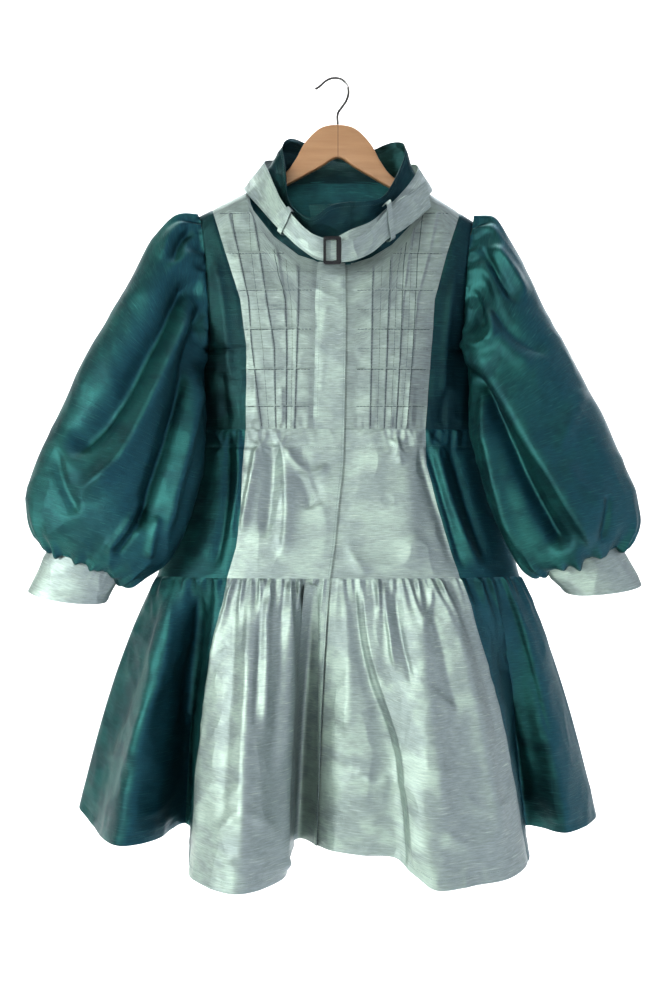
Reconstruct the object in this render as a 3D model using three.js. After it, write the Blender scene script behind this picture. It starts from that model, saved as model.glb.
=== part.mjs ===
// Coat dress with balloon sleeves and a gathered lower tier, hung on a wooden hanger.
// Millimetres, +Z up, +X to the right of the front, the front faces -Y.
// The origin is the inner top of the hanger's hook, where a rail carries it.
import * as THREE from 'three';
import { mergeVertices } from 'three/addons/utils/BufferGeometryUtils.js';

// Driving dimensions
const CLOTH = 1.8;          // wall of every cloth piece
const SEAM = 0.3;           // gap left between two sewn pieces
const WAIST_Z = -456;       // drawstring seam
const TIER_Z = -645;        // seam of the gathered lower tier
const UNDERARM_Z = -352;
const UNDERLAP = 37;        // width of the front that lies under the closing
const LAP_GAP = 0.9;        // air between the two fronts where they lap
const ROLL = 13;            // height in which the cloth turns over the shoulder
const ARMHOLE_DEPTH = 20;   // from the shoulder plane to the front of an armhole
const TUCK_HEIGHT = 1.5;
const TUCK_STEP = 1;        // width of the sharp side of a tuck
const GATHER = 2.4;         // height of a gather at its seam
const WIRE = 3.5;           // hook wire
const WOOD = 12;            // hanger thickness

const SILVER = { color: 0xaebfb7, roughness: 0.42, metalness: 0.25 };
const TEAL = { color: 0x1e5055, roughness: 0.42, metalness: 0.25 };
const MAPLE = { color: 0xc8986a, roughness: 0.55, metalness: 0 };
const CHROME = { color: 0x9b9b98, roughness: 0.3, metalness: 1 };
const BLACK = { color: 0x08090a, roughness: 0.2, metalness: 0 };

const dress = new THREE.Group();
const vec = (x, y, z) => new THREE.Vector3(x, y, z);
const mix = (a, b, t) => a + (b - a) * t;
const clamp01 = (t) => Math.min(1, Math.max(0, t));

// Column `name` of a table at `at`, straight between rows that are sorted by `key`
function read(table, key, at, name) {
  const last = table.length - 1;
  const falling = table[last][key] < table[0][key];
  let i = 0;
  while (i < last - 1 && (falling ? table[i + 1][key] > at : table[i + 1][key] < at)) i += 1;
  const t = clamp01((at - table[i][key]) / (table[i + 1][key] - table[i][key]));
  return mix(table[i][name], table[i + 1][name], t);
}

// A net is a grid of cloth points, net[column][row] = { p, lift, sink, n }. lift raises the
// outer face alone, as a tuck does, and sink moves both faces in, as an underlap lies.
function weave(cells, ring = false) {
  const columns = cells.length;
  const rows = cells[0].length;
  const at = (i, j) => {
    const column = ring ? (i + columns) % columns : Math.min(columns - 1, Math.max(0, i));
    return cells[column][Math.min(rows - 1, Math.max(0, j))].p;
  };
  cells.forEach((column, i) => column.forEach((cell, j) => {
    const across = at(i + 1, j).clone().sub(at(i - 1, j));
    const down = at(i, j + 1).clone().sub(at(i, j - 1));
    cell.n = cell.n ?? down.cross(across).normalize();
  }));
  return cells;
}

// Two nets that meet along a column share its normals, so that their walls stay apart
function share(netA, columnA, netB, columnB) {
  netA[columnA].forEach((cell, j) => {
    const other = netB[columnB][j];
    const n = cell.n.clone().add(other.n).normalize();
    cell.n = n;
    other.n = n.clone();
  });
}

// Moves point a towards point b by half a seam gap
function trimTowards(a, b) {
  a.addScaledVector(b.clone().sub(a).normalize(), SEAM / 2);
}

// One closed wall from the columns of a net. trim names the edges that meet a neighbour,
// and level the rows whose inside stays at the height of the outside.
function wall(columns, { trim = '', level = '', ring = false, thick = CLOTH } = {}) {
  const rows = columns[0].length;
  const last = columns.length - 1;
  const faces = [0, -thick].map((depth) => columns.map((column) => column.map((cell, j) => {
    const n = cell.n.clone();
    if ((j === 0 && level.includes('top')) || (j === rows - 1 && level.includes('bottom'))) {
      n.setZ(0).normalize();
    }
    const raised = depth === 0 ? (cell.lift ?? 0) : 0;
    return cell.p.clone().addScaledVector(n, depth + raised - (cell.sink ?? 0));
  })));
  faces.forEach((side) => {
    side.forEach((column) => {
      if (trim.includes('top')) trimTowards(column[0], column[1]);
      if (trim.includes('bottom')) trimTowards(column[rows - 1], column[rows - 2]);
    });
    for (let j = 0; j < rows; j += 1) {
      if (trim.includes('first')) trimTowards(side[0][j], side[1][j]);
      if (trim.includes('final')) trimTowards(side[last][j], side[last - 1][j]);
    }
  });
  const [outer, inner] = faces;
  const points = [];
  const index = new Map();
  const number = (p) => {
    if (!index.has(p)) {
      index.set(p, points.length / 3);
      points.push(p.x, p.y, p.z);
    }
    return index.get(p);
  };
  const triangles = [];
  const quad = (a, b, c, d) => {
    triangles.push(number(a), number(b), number(c), number(a), number(c), number(d));
  };
  const spans = ring ? last + 1 : last;
  for (let i = 0; i < spans; i += 1) {
    const k = (i + 1) % (last + 1);
    for (let j = 0; j < rows - 1; j += 1) {
      quad(outer[i][j], outer[i][j + 1], outer[k][j + 1], outer[k][j]);
      quad(inner[i][j], inner[k][j], inner[k][j + 1], inner[i][j + 1]);
    }
    quad(outer[i][0], outer[k][0], inner[k][0], inner[i][0]);
    quad(outer[i][rows - 1], inner[i][rows - 1], inner[k][rows - 1], outer[k][rows - 1]);
  }
  if (!ring) {
    for (let j = 0; j < rows - 1; j += 1) {
      quad(outer[0][j], inner[0][j], inner[0][j + 1], outer[0][j + 1]);
      quad(outer[last][j], outer[last][j + 1], inner[last][j + 1], inner[last][j]);
    }
  }
  const geometry = new THREE.BufferGeometry();
  geometry.setAttribute('position', new THREE.Float32BufferAttribute(points, 3));
  geometry.setIndex(triangles);
  return geometry;
}

// Adds a named mesh, its faces turned outwards
function add(name, geometry, finish) {
  let shape = geometry;
  if (shape.attributes.normal) {
    shape.deleteAttribute('normal');
    shape.deleteAttribute('uv');
    shape = mergeVertices(shape, 1e-4);
  }
  const [a, b, c] = [vec(0, 0, 0), vec(0, 0, 0), vec(0, 0, 0)];
  const order = shape.index.array;
  let volume = 0;
  for (let i = 0; i < order.length; i += 3) {
    a.fromBufferAttribute(shape.attributes.position, order[i]);
    b.fromBufferAttribute(shape.attributes.position, order[i + 1]);
    c.fromBufferAttribute(shape.attributes.position, order[i + 2]);
    volume += a.dot(b.cross(c));
  }
  if (volume < 0) shape.setIndex(Array.from(order).reverse());
  shape.computeVertexNormals();
  const mesh = new THREE.Mesh(shape, new THREE.MeshStandardMaterial(finish));
  mesh.name = name;
  dress.add(mesh);
}

// Body outline. sign is -1 for the left of the picture and 1 for the right.
const SIDES = {
  left: { sign: -1, neck: 117, neckZ: -147, shoulder: 180, shoulderZ: -179, underarm: 169 },
  right: { sign: 1, neck: 117, neckZ: -148, shoulder: 176, shoulderZ: -186, underarm: 165 },
};
SIDES.left.seamX = [
  { z: UNDERARM_Z, x: 169 }, { z: -372, x: 172.5 }, { z: -405, x: 175 }, { z: WAIST_Z, x: 176 },
  { z: -488, x: 178 }, { z: -521, x: 184 }, { z: -560, x: 198 }, { z: -605, x: 217 }, { z: TIER_Z, x: 235 },
];
SIDES.right.seamX = [
  { z: UNDERARM_Z, x: 165 }, { z: -372, x: 169.5 }, { z: -405, x: 173 }, { z: WAIST_Z, x: 175 },
  { z: -488, x: 178 }, { z: -521, x: 186 }, { z: -560, x: 200 }, { z: -605, x: 218 }, { z: TIER_Z, x: 236 },
];
const DEPTHS = [
  { z: -140, front: 20, back: 22 }, { z: -200, front: 25, back: 27 }, { z: -260, front: 36, back: 30 },
  { z: UNDERARM_Z, front: 41, back: 33 }, { z: WAIST_Z, front: 36, back: 34 },
  { z: -500, front: 41, back: 38 }, { z: -560, front: 51, back: 46 }, { z: TIER_Z, front: 66, back: 60 },
];
const NECKLINE = [
  { x: -117, z: -147, back: -147 }, { x: -109, z: -174, back: -140 }, { x: -82, z: -209, back: -133 },
  { x: -50, z: -234, back: -129 }, { x: -25, z: -242, back: -128 }, { x: 0, z: -245, back: -128 },
  { x: 21, z: -243, back: -128 }, { x: 42, z: -237, back: -129 }, { x: 69, z: -220, back: -132 },
  { x: 95, z: -192, back: -137 }, { x: 117, z: -148, back: -148 },
];

const shoulderLine = (side, x) => (
  mix(side.neckZ, side.shoulderZ, (Math.abs(x) - side.neck) / (side.shoulder - side.neck))
);

// Half width of the body: to the armhole's edge, and to the side seam below it
function sideEdge(side, z) {
  const middle = (side.shoulderZ + UNDERARM_Z) / 2;
  const half = (side.shoulderZ - UNDERARM_Z) / 2;
  const cos = Math.max(-1, Math.min(1, (z - middle) / half));
  const sin = Math.sqrt(1 - cos * cos);
  const chord = mix(side.underarm, side.shoulder, (cos + 1) / 2) - 6 * sin;
  return z >= UNDERARM_Z ? chord : read(side.seamX, 'z', z, 'x');
}

// Point of the body's cloth at x, z on its front or back
function bodyPoint(side, x, z, face) {
  const width = clamp01(Math.abs(x) / sideEdge(side, z));
  const round = (1 - width ** 2.6) ** 0.55;
  const shoulder = shoulderLine(side, x);
  const turn = Math.sqrt(1 - (1 - clamp01((shoulder - z) / ROLL)) ** 2);
  const down = clamp01((shoulder - z) / (shoulder - UNDERARM_Z));
  const armhole = ARMHOLE_DEPTH * Math.sin(Math.acos(1 - 2 * down)) ** 0.6;
  const depth = mix(armhole, read(DEPTHS, 'z', z, face) * turn, round);
  return vec(x, face === 'front' ? -depth : depth, z);
}

// Bodice rows: the turn over the shoulder, then level rows, a pair at each cross tuck
const TUCK_ROWS = [-178, -231, -279, -329, -380, -427];
const LEVELS = [];
TUCK_ROWS.forEach((z) => {
  LEVELS.push({ z: z + TUCK_STEP / 2, tuck: 1 }, { z: z - TUCK_STEP / 2, tuck: 0 });
  if (z === -329) LEVELS.push({ z: UNDERARM_Z, tuck: 0 });
});
LEVELS.push({ z: WAIST_Z, tuck: 0 });
const TURN_ROWS = [0, 0.6, 2.6, 6.5, ROLL];

function bodiceRows(top) {
  const rows = TURN_ROWS.map((h) => ({ z: top - h, tuck: 0 }));
  const start = top - ROLL;
  const first = LEVELS.findIndex((level, k) => level.z < start - 2 * (k + 1));
  LEVELS.forEach((level, k) => {
    const squeezed = mix(start, LEVELS[first].z, (k + 1) / (first + 1));
    rows.push(k < first ? { z: squeezed, tuck: 0 } : level);
  });
  return rows;
}

// Lines that run down the bodice front: x at five heights, and whether a tuck is pressed there
const heights = [-170, -230, -290, -350, WAIST_Z];
const line = (xs, tuck = 0) => ({ xs: heights.map((z, i) => ({ z, x: xs[i] })), tuck });
const LEFT_LINES = {
  princess: line([-163, -144, -125, -117, -118]),
  tucks: [
    line([-141, -127, -114, -110, -97], 1), line([-115, -111, -103, -96, -88]),
    line([-110, -100, -91, -81, -79], 1), line([-84, -77, -67, -65, -66], 1),
    line([-50, -50, -50, -52, -55], 1),
  ],
  band: line([-25, -25, -29, -29, -32]),
  edge: line([9, 9, 10, 10, 8]),
};
const RIGHT_LINES = {
  edge: LEFT_LINES.edge,
  tucks: [
    line([46, 46, 44, 43, 41], 1), line([72, 69, 66, 63, 59], 1), line([99, 88, 76, 72, 67]),
    line([103, 92, 84, 80, 74], 1),
    line([115, 104, 94, 89, 81]), line([130, 118, 102, 96, 88], 1),
  ],
  princess: line([160, 140, 124, 120, 112]),
};
const lineX = (row, z) => read(row.xs, 'z', z, 'x');

// Height of the panel's top edge where a line meets it
function topEdge(side, xOf, face) {
  let z = side.neckZ;
  for (let k = 0; k < 24; k += 1) {
    const x = xOf(z);
    const inNeck = Math.abs(x) < side.neck;
    z = inNeck ? read(NECKLINE, 'x', x, face === 'front' ? 'z' : 'back') : shoulderLine(side, x);
  }
  return z;
}

// One column of bodice cells under a line
function bodiceColumn(side, xOf, face, { ridge = 0, sink = 0 } = {}) {
  const top = topEdge(side, xOf, face);
  return bodiceRows(top).map((row) => {
    const x = xOf(row.z);
    const lift = (ridge + row.tuck * (ridge >= 0 ? 1 : 0)) * TUCK_HEIGHT;
    const cell = { p: bodyPoint(side, x, row.z, face), lift: Math.max(0, lift), sink };
    if (row.z === top && Math.abs(x) >= side.neck - 1) cell.n = vec(0, 0, 1);
    return cell;
  });
}

const PLAIN = { ridge: -1 };
const sideX = (side) => (z) => side.sign * sideEdge(side, z);
const between = (a, b, t) => (z) => mix(a(z), b(z), t);

// Columns over a yoke: two at each pressed tuck, so that it ends in a sharp step
function yokeColumns(side, lines, towards) {
  const columns = [];
  lines.forEach((row) => {
    const x = (z) => lineX(row, z);
    if (row.tuck) {
      const near = (z) => x(z) - towards * TUCK_STEP / 2;
      const far = (z) => x(z) + towards * TUCK_STEP / 2;
      columns.push(bodiceColumn(side, near, 'front', { ridge: 1 }));
      columns.push(bodiceColumn(side, far, 'front', { ridge: 0 }));
    } else {
      columns.push(bodiceColumn(side, x, 'front', { ridge: 0 }));
    }
  });
  return columns;
}

const { left, right } = SIDES;
const leftPrincess = (z) => lineX(LEFT_LINES.princess, z);
const rightPrincess = (z) => lineX(RIGHT_LINES.princess, z);
const bandX = (z) => lineX(LEFT_LINES.band, z);
const edgeX = (z) => lineX(LEFT_LINES.edge, z);
const lap = CLOTH + LAP_GAP;
const sideShares = [0, 0.3, 0.65];

const leftBodice = [
  ...sideShares.map((t) => bodiceColumn(left, between(sideX(left), leftPrincess, t), 'front', PLAIN)),
  bodiceColumn(left, leftPrincess, 'front', PLAIN),
  ...yokeColumns(left, LEFT_LINES.tucks, 1),
  bodiceColumn(left, bandX, 'front', PLAIN),
  bodiceColumn(left, between(bandX, edgeX, 0.5), 'front', PLAIN),
  bodiceColumn(left, edgeX, 'front', PLAIN),
];
const lapColumns = [
  { out: -UNDERLAP, sink: lap }, { out: -UNDERLAP / 2, sink: lap }, { out: 1, sink: lap },
  { out: 12, sink: 0 },
];
const rightBodice = [
  ...lapColumns.map(({ out, sink }) => (
    bodiceColumn(out < 0 ? left : right, (z) => edgeX(z) + out, 'front', { ridge: -1, sink })
  )),
  ...yokeColumns(right, RIGHT_LINES.tucks, 1),
  bodiceColumn(right, rightPrincess, 'front', PLAIN),
  ...sideShares.toReversed().map((t) => (
    bodiceColumn(right, between(sideX(right), rightPrincess, t), 'front', PLAIN)
  )),
];
const backShares = [
  { side: right, t: 1 }, { side: right, t: 0.93 }, { side: right, t: 0.8 }, { side: right, t: 0.66 },
  { side: right, t: 0.45 }, { side: right, t: 0.2 }, { side: left, t: 0 }, { side: left, t: 0.2 },
  { side: left, t: 0.45 }, { side: left, t: 0.66 }, { side: left, t: 0.8 }, { side: left, t: 0.93 },
  { side: left, t: 1 },
];
const backBodice = backShares.map(({ side, t }) => (
  bodiceColumn(side, (z) => sideX(side)(z) * t, 'back', PLAIN)
));

[leftBodice, rightBodice, backBodice].forEach((net) => weave(net));
share(leftBodice, 0, backBodice, backBodice.length - 1);
share(rightBodice, rightBodice.length - 1, backBodice, 0);

// Panels are cut from a net between two columns, which both panels keep
const panel = (net, from, to) => net.slice(from, to + 1);
const leftPrincessColumn = sideShares.length;
const bandColumn = leftBodice.length - 3;
const rightPrincessColumn = rightBodice.length - 1 - sideShares.length;
const seamed = { level: 'bottom', trim: 'top bottom first final' };
const closingLeft = { level: 'bottom', trim: 'top bottom first' };
const closingRight = { level: 'bottom', trim: 'top bottom final' };
add('side_front_left', wall(panel(leftBodice, 0, leftPrincessColumn), seamed), TEAL);
add('yoke_left', wall(panel(leftBodice, leftPrincessColumn, bandColumn), seamed), SILVER);
add('placket_band', wall(leftBodice.slice(bandColumn), closingLeft), SILVER);
add('yoke_right', wall(panel(rightBodice, 0, rightPrincessColumn), closingRight), SILVER);
add('side_front_right', wall(rightBodice.slice(rightPrincessColumn), seamed), TEAL);
add('back_bodice', wall(backBodice, seamed), TEAL);

// Upper skirt, from the drawstring seam to the tier seam
const SKIRT_SEAMS = [
  { z: WAIST_Z, left: -118, right: 112, edge: 8 }, { z: -500, left: -121, right: 113, edge: 7 },
  { z: -561, left: -123, right: 129, edge: 0 }, { z: -606, left: -129, right: 142, edge: -4 },
  { z: TIER_Z, left: -140, right: 154, edge: -10 },
];
const seamX = (name) => (z) => read(SKIRT_SEAMS, 'z', z, name);
const SKIRT_ROWS = [
  { z: WAIST_Z, gather: 0 }, { z: -464, gather: 1 }, { z: -480, gather: 1 }, { z: -510, gather: 0.5 },
  { z: -561, gather: 0 }, { z: -606, gather: 0 }, { z: TIER_Z, gather: 0 },
];

function skirtColumn(side, xOf, face, { fold = 0, sink = 0 } = {}) {
  return SKIRT_ROWS.map(({ z, gather }) => {
    const p = bodyPoint(side, xOf(z), z, face);
    const out = face === 'front' ? -1 : 1;
    p.y += out * fold * gather * GATHER;
    return { p, sink };
  });
}

// Columns across a skirt panel, every second one raised as a gather at the drawstring
function skirtPanel(side, from, to, count, face, strength, flatEnd = 0) {
  return Array.from({ length: count + 1 }, (_, i) => {
    const inside = i > 0 && i < count - flatEnd;
    const fold = inside ? strength * (i % 2 ? 1 : -0.4) : 0;
    return skirtColumn(side, between(from, to, i / count), face, { fold });
  });
}

const SKIRT_SIDE_COLUMNS = 6;
const leftSkirt = [
  ...skirtPanel(left, sideX(left), seamX('left'), SKIRT_SIDE_COLUMNS, 'front', 1),
  ...skirtPanel(left, seamX('left'), seamX('edge'), 10, 'front', 0.5, 4).slice(1),
];
const rightSkirt = [
  ...lapColumns.slice(0, 3).map(({ out, sink }) => (
    skirtColumn(out < 0 ? left : right, (z) => seamX('edge')(z) + out, 'front', { sink })
  )),
  ...skirtPanel(right, (z) => seamX('edge')(z) + 14, seamX('right'), 8, 'front', 0.5),
  ...skirtPanel(right, seamX('right'), sideX(right), SKIRT_SIDE_COLUMNS, 'front', 1).slice(1),
];
const backSkirt = [
  ...skirtPanel(right, sideX(right), () => 0, 10, 'back', 0.9),
  ...skirtPanel(left, () => 0, sideX(left), 10, 'back', 0.9).slice(1),
];
[leftSkirt, rightSkirt, backSkirt].forEach((net) => weave(net));
share(leftSkirt, 0, backSkirt, backSkirt.length - 1);
share(rightSkirt, rightSkirt.length - 1, backSkirt, 0);

const skirt = { level: 'top bottom' };
const all = 'top bottom first final';
const skirtSeamLeft = SKIRT_SIDE_COLUMNS;
const skirtSeamRight = rightSkirt.length - 1 - SKIRT_SIDE_COLUMNS;
add('skirt_side_left', wall(panel(leftSkirt, 0, skirtSeamLeft), { ...skirt, trim: all }), TEAL);
add('skirt_front_left', wall(leftSkirt.slice(skirtSeamLeft), { ...skirt, trim: 'top bottom first' }), SILVER);
add('skirt_front_right', wall(panel(rightSkirt, 0, skirtSeamRight), {
  ...skirt, trim: 'top bottom final',
}), SILVER);
add('skirt_side_right', wall(rightSkirt.slice(skirtSeamRight), { ...skirt, trim: all }), TEAL);
add('skirt_back', wall(backSkirt, { ...skirt, trim: all }), TEAL);

// Hem of the lower tier, once round: where its folds stand out and turn in
const HEM = [
  { x: -352, y: 92, z: -963, seam: 'side_left' }, { x: -327, y: 50, z: -982 },
  { x: -277, y: -40, z: -986 }, { x: -238, y: -12, z: -986 }, { x: -203, y: 60, z: -982 },
  { x: -190, y: -50, z: -1012, seam: 'front_left' }, { x: -175, y: -99, z: -1015 },
  { x: -123, y: -140, z: -1020 }, { x: -68, y: -88, z: -1015 }, { x: -62, y: -30, z: -1003 },
  { x: -52, y: 8, z: -990 }, { x: -28, y: -34, z: -988, seam: 'edge' },
  { x: -6, y: -64, z: -988 }, { x: 27, y: -75, z: -990 }, { x: 69, y: -84, z: -991 },
  { x: 92, y: -103, z: -1007 }, { x: 118, y: -123, z: -1020 }, { x: 166, y: -109, z: -1018 },
  { x: 211, y: -88, z: -1015 }, { x: 244, y: -43, z: -1005, seam: 'front_right' },
  { x: 252, y: 62, z: -985 }, { x: 272, y: 50, z: -985 }, { x: 303, y: 28, z: -986 },
  { x: 354, y: 98, z: -977, seam: 'side_right' },
  { x: 300, y: 118, z: -978 }, { x: 240, y: 90, z: -978 }, { x: 170, y: 125, z: -980 },
  { x: 95, y: 95, z: -980 }, { x: 20, y: 130, z: -980 }, { x: -60, y: 98, z: -980 },
  { x: -130, y: 128, z: -980 }, { x: -205, y: 92, z: -978 }, { x: -275, y: 120, z: -978 },
];
const hemCurve = new THREE.CatmullRomCurve3(HEM.map(({ x, y, z }) => vec(x, y, z)), true, 'centripetal');
const hemAt = (name) => HEM.findIndex((row) => row.seam === name) / HEM.length;

// `count` + 1 points evenly along a path that `at` gives for t from 0 to 1
function evenly(at, count) {
  const steps = 160;
  const points = Array.from({ length: steps + 1 }, (_, k) => at(k / steps));
  const reach = [0];
  for (let k = 1; k <= steps; k += 1) reach.push(reach[k - 1] + points[k].distanceTo(points[k - 1]));
  return Array.from({ length: count + 1 }, (_, i) => {
    const goal = (reach[steps] * i) / count;
    const k = Math.max(1, reach.findIndex((r) => r >= goal - 1e-6));
    const t = (goal - reach[k - 1]) / (reach[k] - reach[k - 1]);
    return points[k - 1].clone().lerp(points[k], clamp01(t));
  });
}

const TIER_ROWS = [
  { v: 0, gather: 0 }, { v: 0.035, gather: 1 }, { v: 0.14, gather: 0.8 }, { v: 0.32, gather: 0.35 },
  { v: 0.55, gather: 0.1 }, { v: 0.8, gather: 0 }, { v: 1, gather: 0 },
];

// Columns of the lower tier between two paths, with two for each gather
function tierPanel(topAt, hemFrom, hemTo, gathers, { sink = 0, flatEnd = 0 } = {}) {
  const count = 2 * gathers;
  const tops = evenly(topAt, count);
  const hems = evenly((t) => hemCurve.getPoint(mix(hemFrom, hemTo, t)), count);
  return tops.map((top, i) => TIER_ROWS.map(({ v, gather }) => {
    const p = top.clone().lerp(hems[i], v);
    const swell = 0.1 * Math.sin(Math.PI * v ** 0.8);
    p.x += (hems[i].x - top.x) * swell;
    p.y += (hems[i].y - top.y) * swell;
    const uneven = 0.75 + 0.25 * Math.sin(i * 2.3);
    const inside = i > 0 && i < count - flatEnd;
    const ripple = inside ? gather * GATHER * uneven * (i % 2 ? 1 : -1) : 0;
    return { p, ripple, sink };
  }));
}

// Gathers move a net's points out and in along its own normals
function gatherUp(net) {
  const plain = weave(net.map((column) => column.map(({ p }) => ({ p }))));
  net.forEach((column, i) => column.forEach((cell, j) => {
    cell.p = cell.p.clone().addScaledVector(plain[i][j].n, cell.ripple);
  }));
  return weave(net);
}

const tierTop = (side, from, to, face) => (t) => bodyPoint(side, mix(from, to, t), TIER_Z, face);
const leftEnd = -left.seamX.at(-1).x;
const rightEnd = right.seamX.at(-1).x;
const [leftSeam, rightSeam, opening] = [seamX('left'), seamX('right'), seamX('edge')].map((x) => x(TIER_Z));
const LAP_COLUMNS = 4;
const SIDE_GATHERS = 7;
const FRONT_GATHERS = 13;
const leftTier = gatherUp([
  ...tierPanel(tierTop(left, leftEnd, leftSeam, 'front'), 0, hemAt('front_left'), SIDE_GATHERS),
  ...tierPanel(tierTop(left, leftSeam, opening, 'front'), hemAt('front_left'), hemAt('edge'),
    FRONT_GATHERS, { flatEnd: LAP_COLUMNS - 1 }).slice(1),
]);
const tierLap = leftTier.slice(-LAP_COLUMNS).map((column) => (
  column.map(({ p }) => ({ p: p.clone(), ripple: 0, sink: lap }))
));
const rightTier = gatherUp([
  ...tierLap,
  ...tierPanel(tierTop(right, opening, rightSeam, 'front'), hemAt('edge'), hemAt('front_right'),
    FRONT_GATHERS).slice(1),
  ...tierPanel(tierTop(right, rightSeam, rightEnd, 'front'), hemAt('front_right'), hemAt('side_right'),
    SIDE_GATHERS).slice(1),
]);
const half = (hemAt('side_right') + 1) / 2;
const backTier = gatherUp([
  ...tierPanel(tierTop(right, rightEnd, 0, 'back'), hemAt('side_right'), half, 10),
  ...tierPanel(tierTop(left, 0, leftEnd, 'back'), half, 1, 10).slice(1),
]);
share(leftTier, 0, backTier, backTier.length - 1);
share(rightTier, rightTier.length - 1, backTier, 0);

tierLap.forEach((_, i) => rightTier[i].forEach((cell, j) => {
  cell.n = leftTier.at(i - LAP_COLUMNS)[j].n.clone();
}));

const tier = { level: 'top' };
const tierSeamLeft = 2 * SIDE_GATHERS;
const tierSeamRight = rightTier.length - 1 - 2 * SIDE_GATHERS;
add('tier_side_left', wall(panel(leftTier, 0, tierSeamLeft), { ...tier, trim: 'top first final' }), TEAL);
add('tier_front_left', wall(leftTier.slice(tierSeamLeft), { ...tier, trim: 'top first' }), SILVER);
add('tier_front_right', wall(panel(rightTier, 0, tierSeamRight), { ...tier, trim: 'top final' }), SILVER);
add('tier_side_right', wall(rightTier.slice(tierSeamRight), { ...tier, trim: 'top first final' }), TEAL);
add('tier_back', wall(backTier, { ...tier, trim: 'top first final' }), TEAL);

// Cuffs: a ring at the sleeve seam and one at the opening, centre and half width
const CUFFS = {
  left: {
    seam: { x: -315, y: -58, z: -617, halfX: -45, halfZ: 20, halfY: 24, droop: 0 },
    open: { x: -341, y: -56, z: -667, halfX: -49, halfZ: 7, halfY: 25, droop: 7 },
  },
  right: {
    seam: { x: 304, y: -58, z: -612, halfX: 50, halfZ: 18, halfY: 24, droop: 0 },
    open: { x: 333, y: -56, z: -657, halfX: 50, halfZ: 5, halfY: 25, droop: 7 },
  },
};
const ROUND = 28;  // columns round a sleeve

function cuffPoint(cuff, v, angle, wider = 0) {
  const value = (name) => mix(cuff.seam[name], cuff.open[name], v);
  const cos = Math.cos(angle);
  const sin = Math.sin(angle);
  const grow = 1 + wider / Math.abs(value('halfX'));
  return vec(
    value('x') + value('halfX') * cos * grow,
    value('y') - (value('halfY') + wider) * sin,
    value('z') + value('halfZ') * cos * grow - value('droop') * sin,
  );
}

// Sleeve sections under the armhole: outer and inner edge as seen from the front,
// the middle's y, half the depth, and how far the inner edge leans forward. `gather` is
// the height of the pleats there.
const SLEEVES = {
  left: [
    { ox: -208, oz: -176, ix: -175, iz: -357, y: -2, deep: 33, lean: 6, gather: 1 },
    { ox: -244, oz: -214, ix: -174, iz: -378, y: -6, deep: 44, lean: 16, gather: 0.4 },
    { ox: -282, oz: -290, ix: -171, iz: -406, y: -14, deep: 50, lean: 20, gather: 0 },
    { ox: -320, oz: -360, ix: -168, iz: -450, y: -25, deep: 53, lean: 18, gather: 0 },
    { ox: -357, oz: -442, ix: -170, iz: -500, y: -38, deep: 54, lean: 12, gather: 0 },
    { ox: -384, oz: -507, ix: -181, iz: -556, y: -52, deep: 53, lean: 6, gather: 0 },
    { ox: -393, oz: -545, ix: -196, iz: -597, y: -59, deep: 50, lean: 2, gather: 0.2 },
    { ox: -388, oz: -575, ix: -216, iz: -627, y: -61, deep: 46, lean: 0, gather: 0.6 },
    { ox: -374, oz: -597, ix: -242, iz: -643, y: -60, deep: 38, lean: 0, gather: 1 },
    { ox: -366, oz: -607, ix: -262, iz: -649, y: -59, deep: 30, lean: 0, gather: 1 },
  ],
  right: [
    { ox: 202, oz: -180, ix: 170, iz: -358, y: -2, deep: 33, lean: 6, gather: 1 },
    { ox: 228, oz: -222, ix: 169, iz: -382, y: -6, deep: 44, lean: 16, gather: 0.4 },
    { ox: 262, oz: -292, ix: 168, iz: -411, y: -14, deep: 50, lean: 20, gather: 0 },
    { ox: 296, oz: -357, ix: 167, iz: -452, y: -25, deep: 53, lean: 18, gather: 0 },
    { ox: 336, oz: -440, ix: 175, iz: -498, y: -38, deep: 54, lean: 12, gather: 0 },
    { ox: 362, oz: -503, ix: 188, iz: -545, y: -52, deep: 53, lean: 6, gather: 0 },
    { ox: 376, oz: -548, ix: 203, iz: -585, y: -59, deep: 50, lean: 2, gather: 0.2 },
    { ox: 379, oz: -572, ix: 218, iz: -617, y: -61, deep: 46, lean: 0, gather: 0.6 },
    { ox: 370, oz: -592, ix: 236, iz: -638, y: -60, deep: 38, lean: 0, gather: 1 },
    { ox: 362, oz: -602, ix: 249, iz: -642, y: -59, deep: 30, lean: 0, gather: 1 },
  ],
};

// Largest folds of a sleeve: angle at its first and last row (0 outer edge, 90 front)
const FOLDS = {
  left: [
    { a: 100, b: 40, depth: -9, width: 16, from: 1, to: 6 },
    { a: 130, b: 75, depth: 8, width: 16, from: 1, to: 7 },
    { a: 150, b: 120, depth: -9, width: 14, from: 2, to: 7 },
    { a: 250, b: 290, depth: -8, width: 16, from: 2, to: 7 },
  ],
  right: [
    { a: 60, b: 35, depth: 7, width: 18, from: 1, to: 6 },
    { a: 130, b: 60, depth: -10, width: 15, from: 3, to: 7 },
    { a: 165, b: 85, depth: 9, width: 15, from: 3, to: 8 },
    { a: 250, b: 290, depth: -8, width: 16, from: 2, to: 7 },
  ],
};

function foldHeight(folds, row, degrees) {
  return folds.reduce((sum, { a, b, depth, width, from, to }) => {
    const t = (row - from) / (to - from);
    if (t <= 0 || t >= 1) return sum;
    const off = ((degrees - mix(a, b, t) + 540) % 360) - 180;
    return sum + depth * Math.sin(Math.PI * t) * Math.exp(-((off / width) ** 2));
  }, 0);
}

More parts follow.
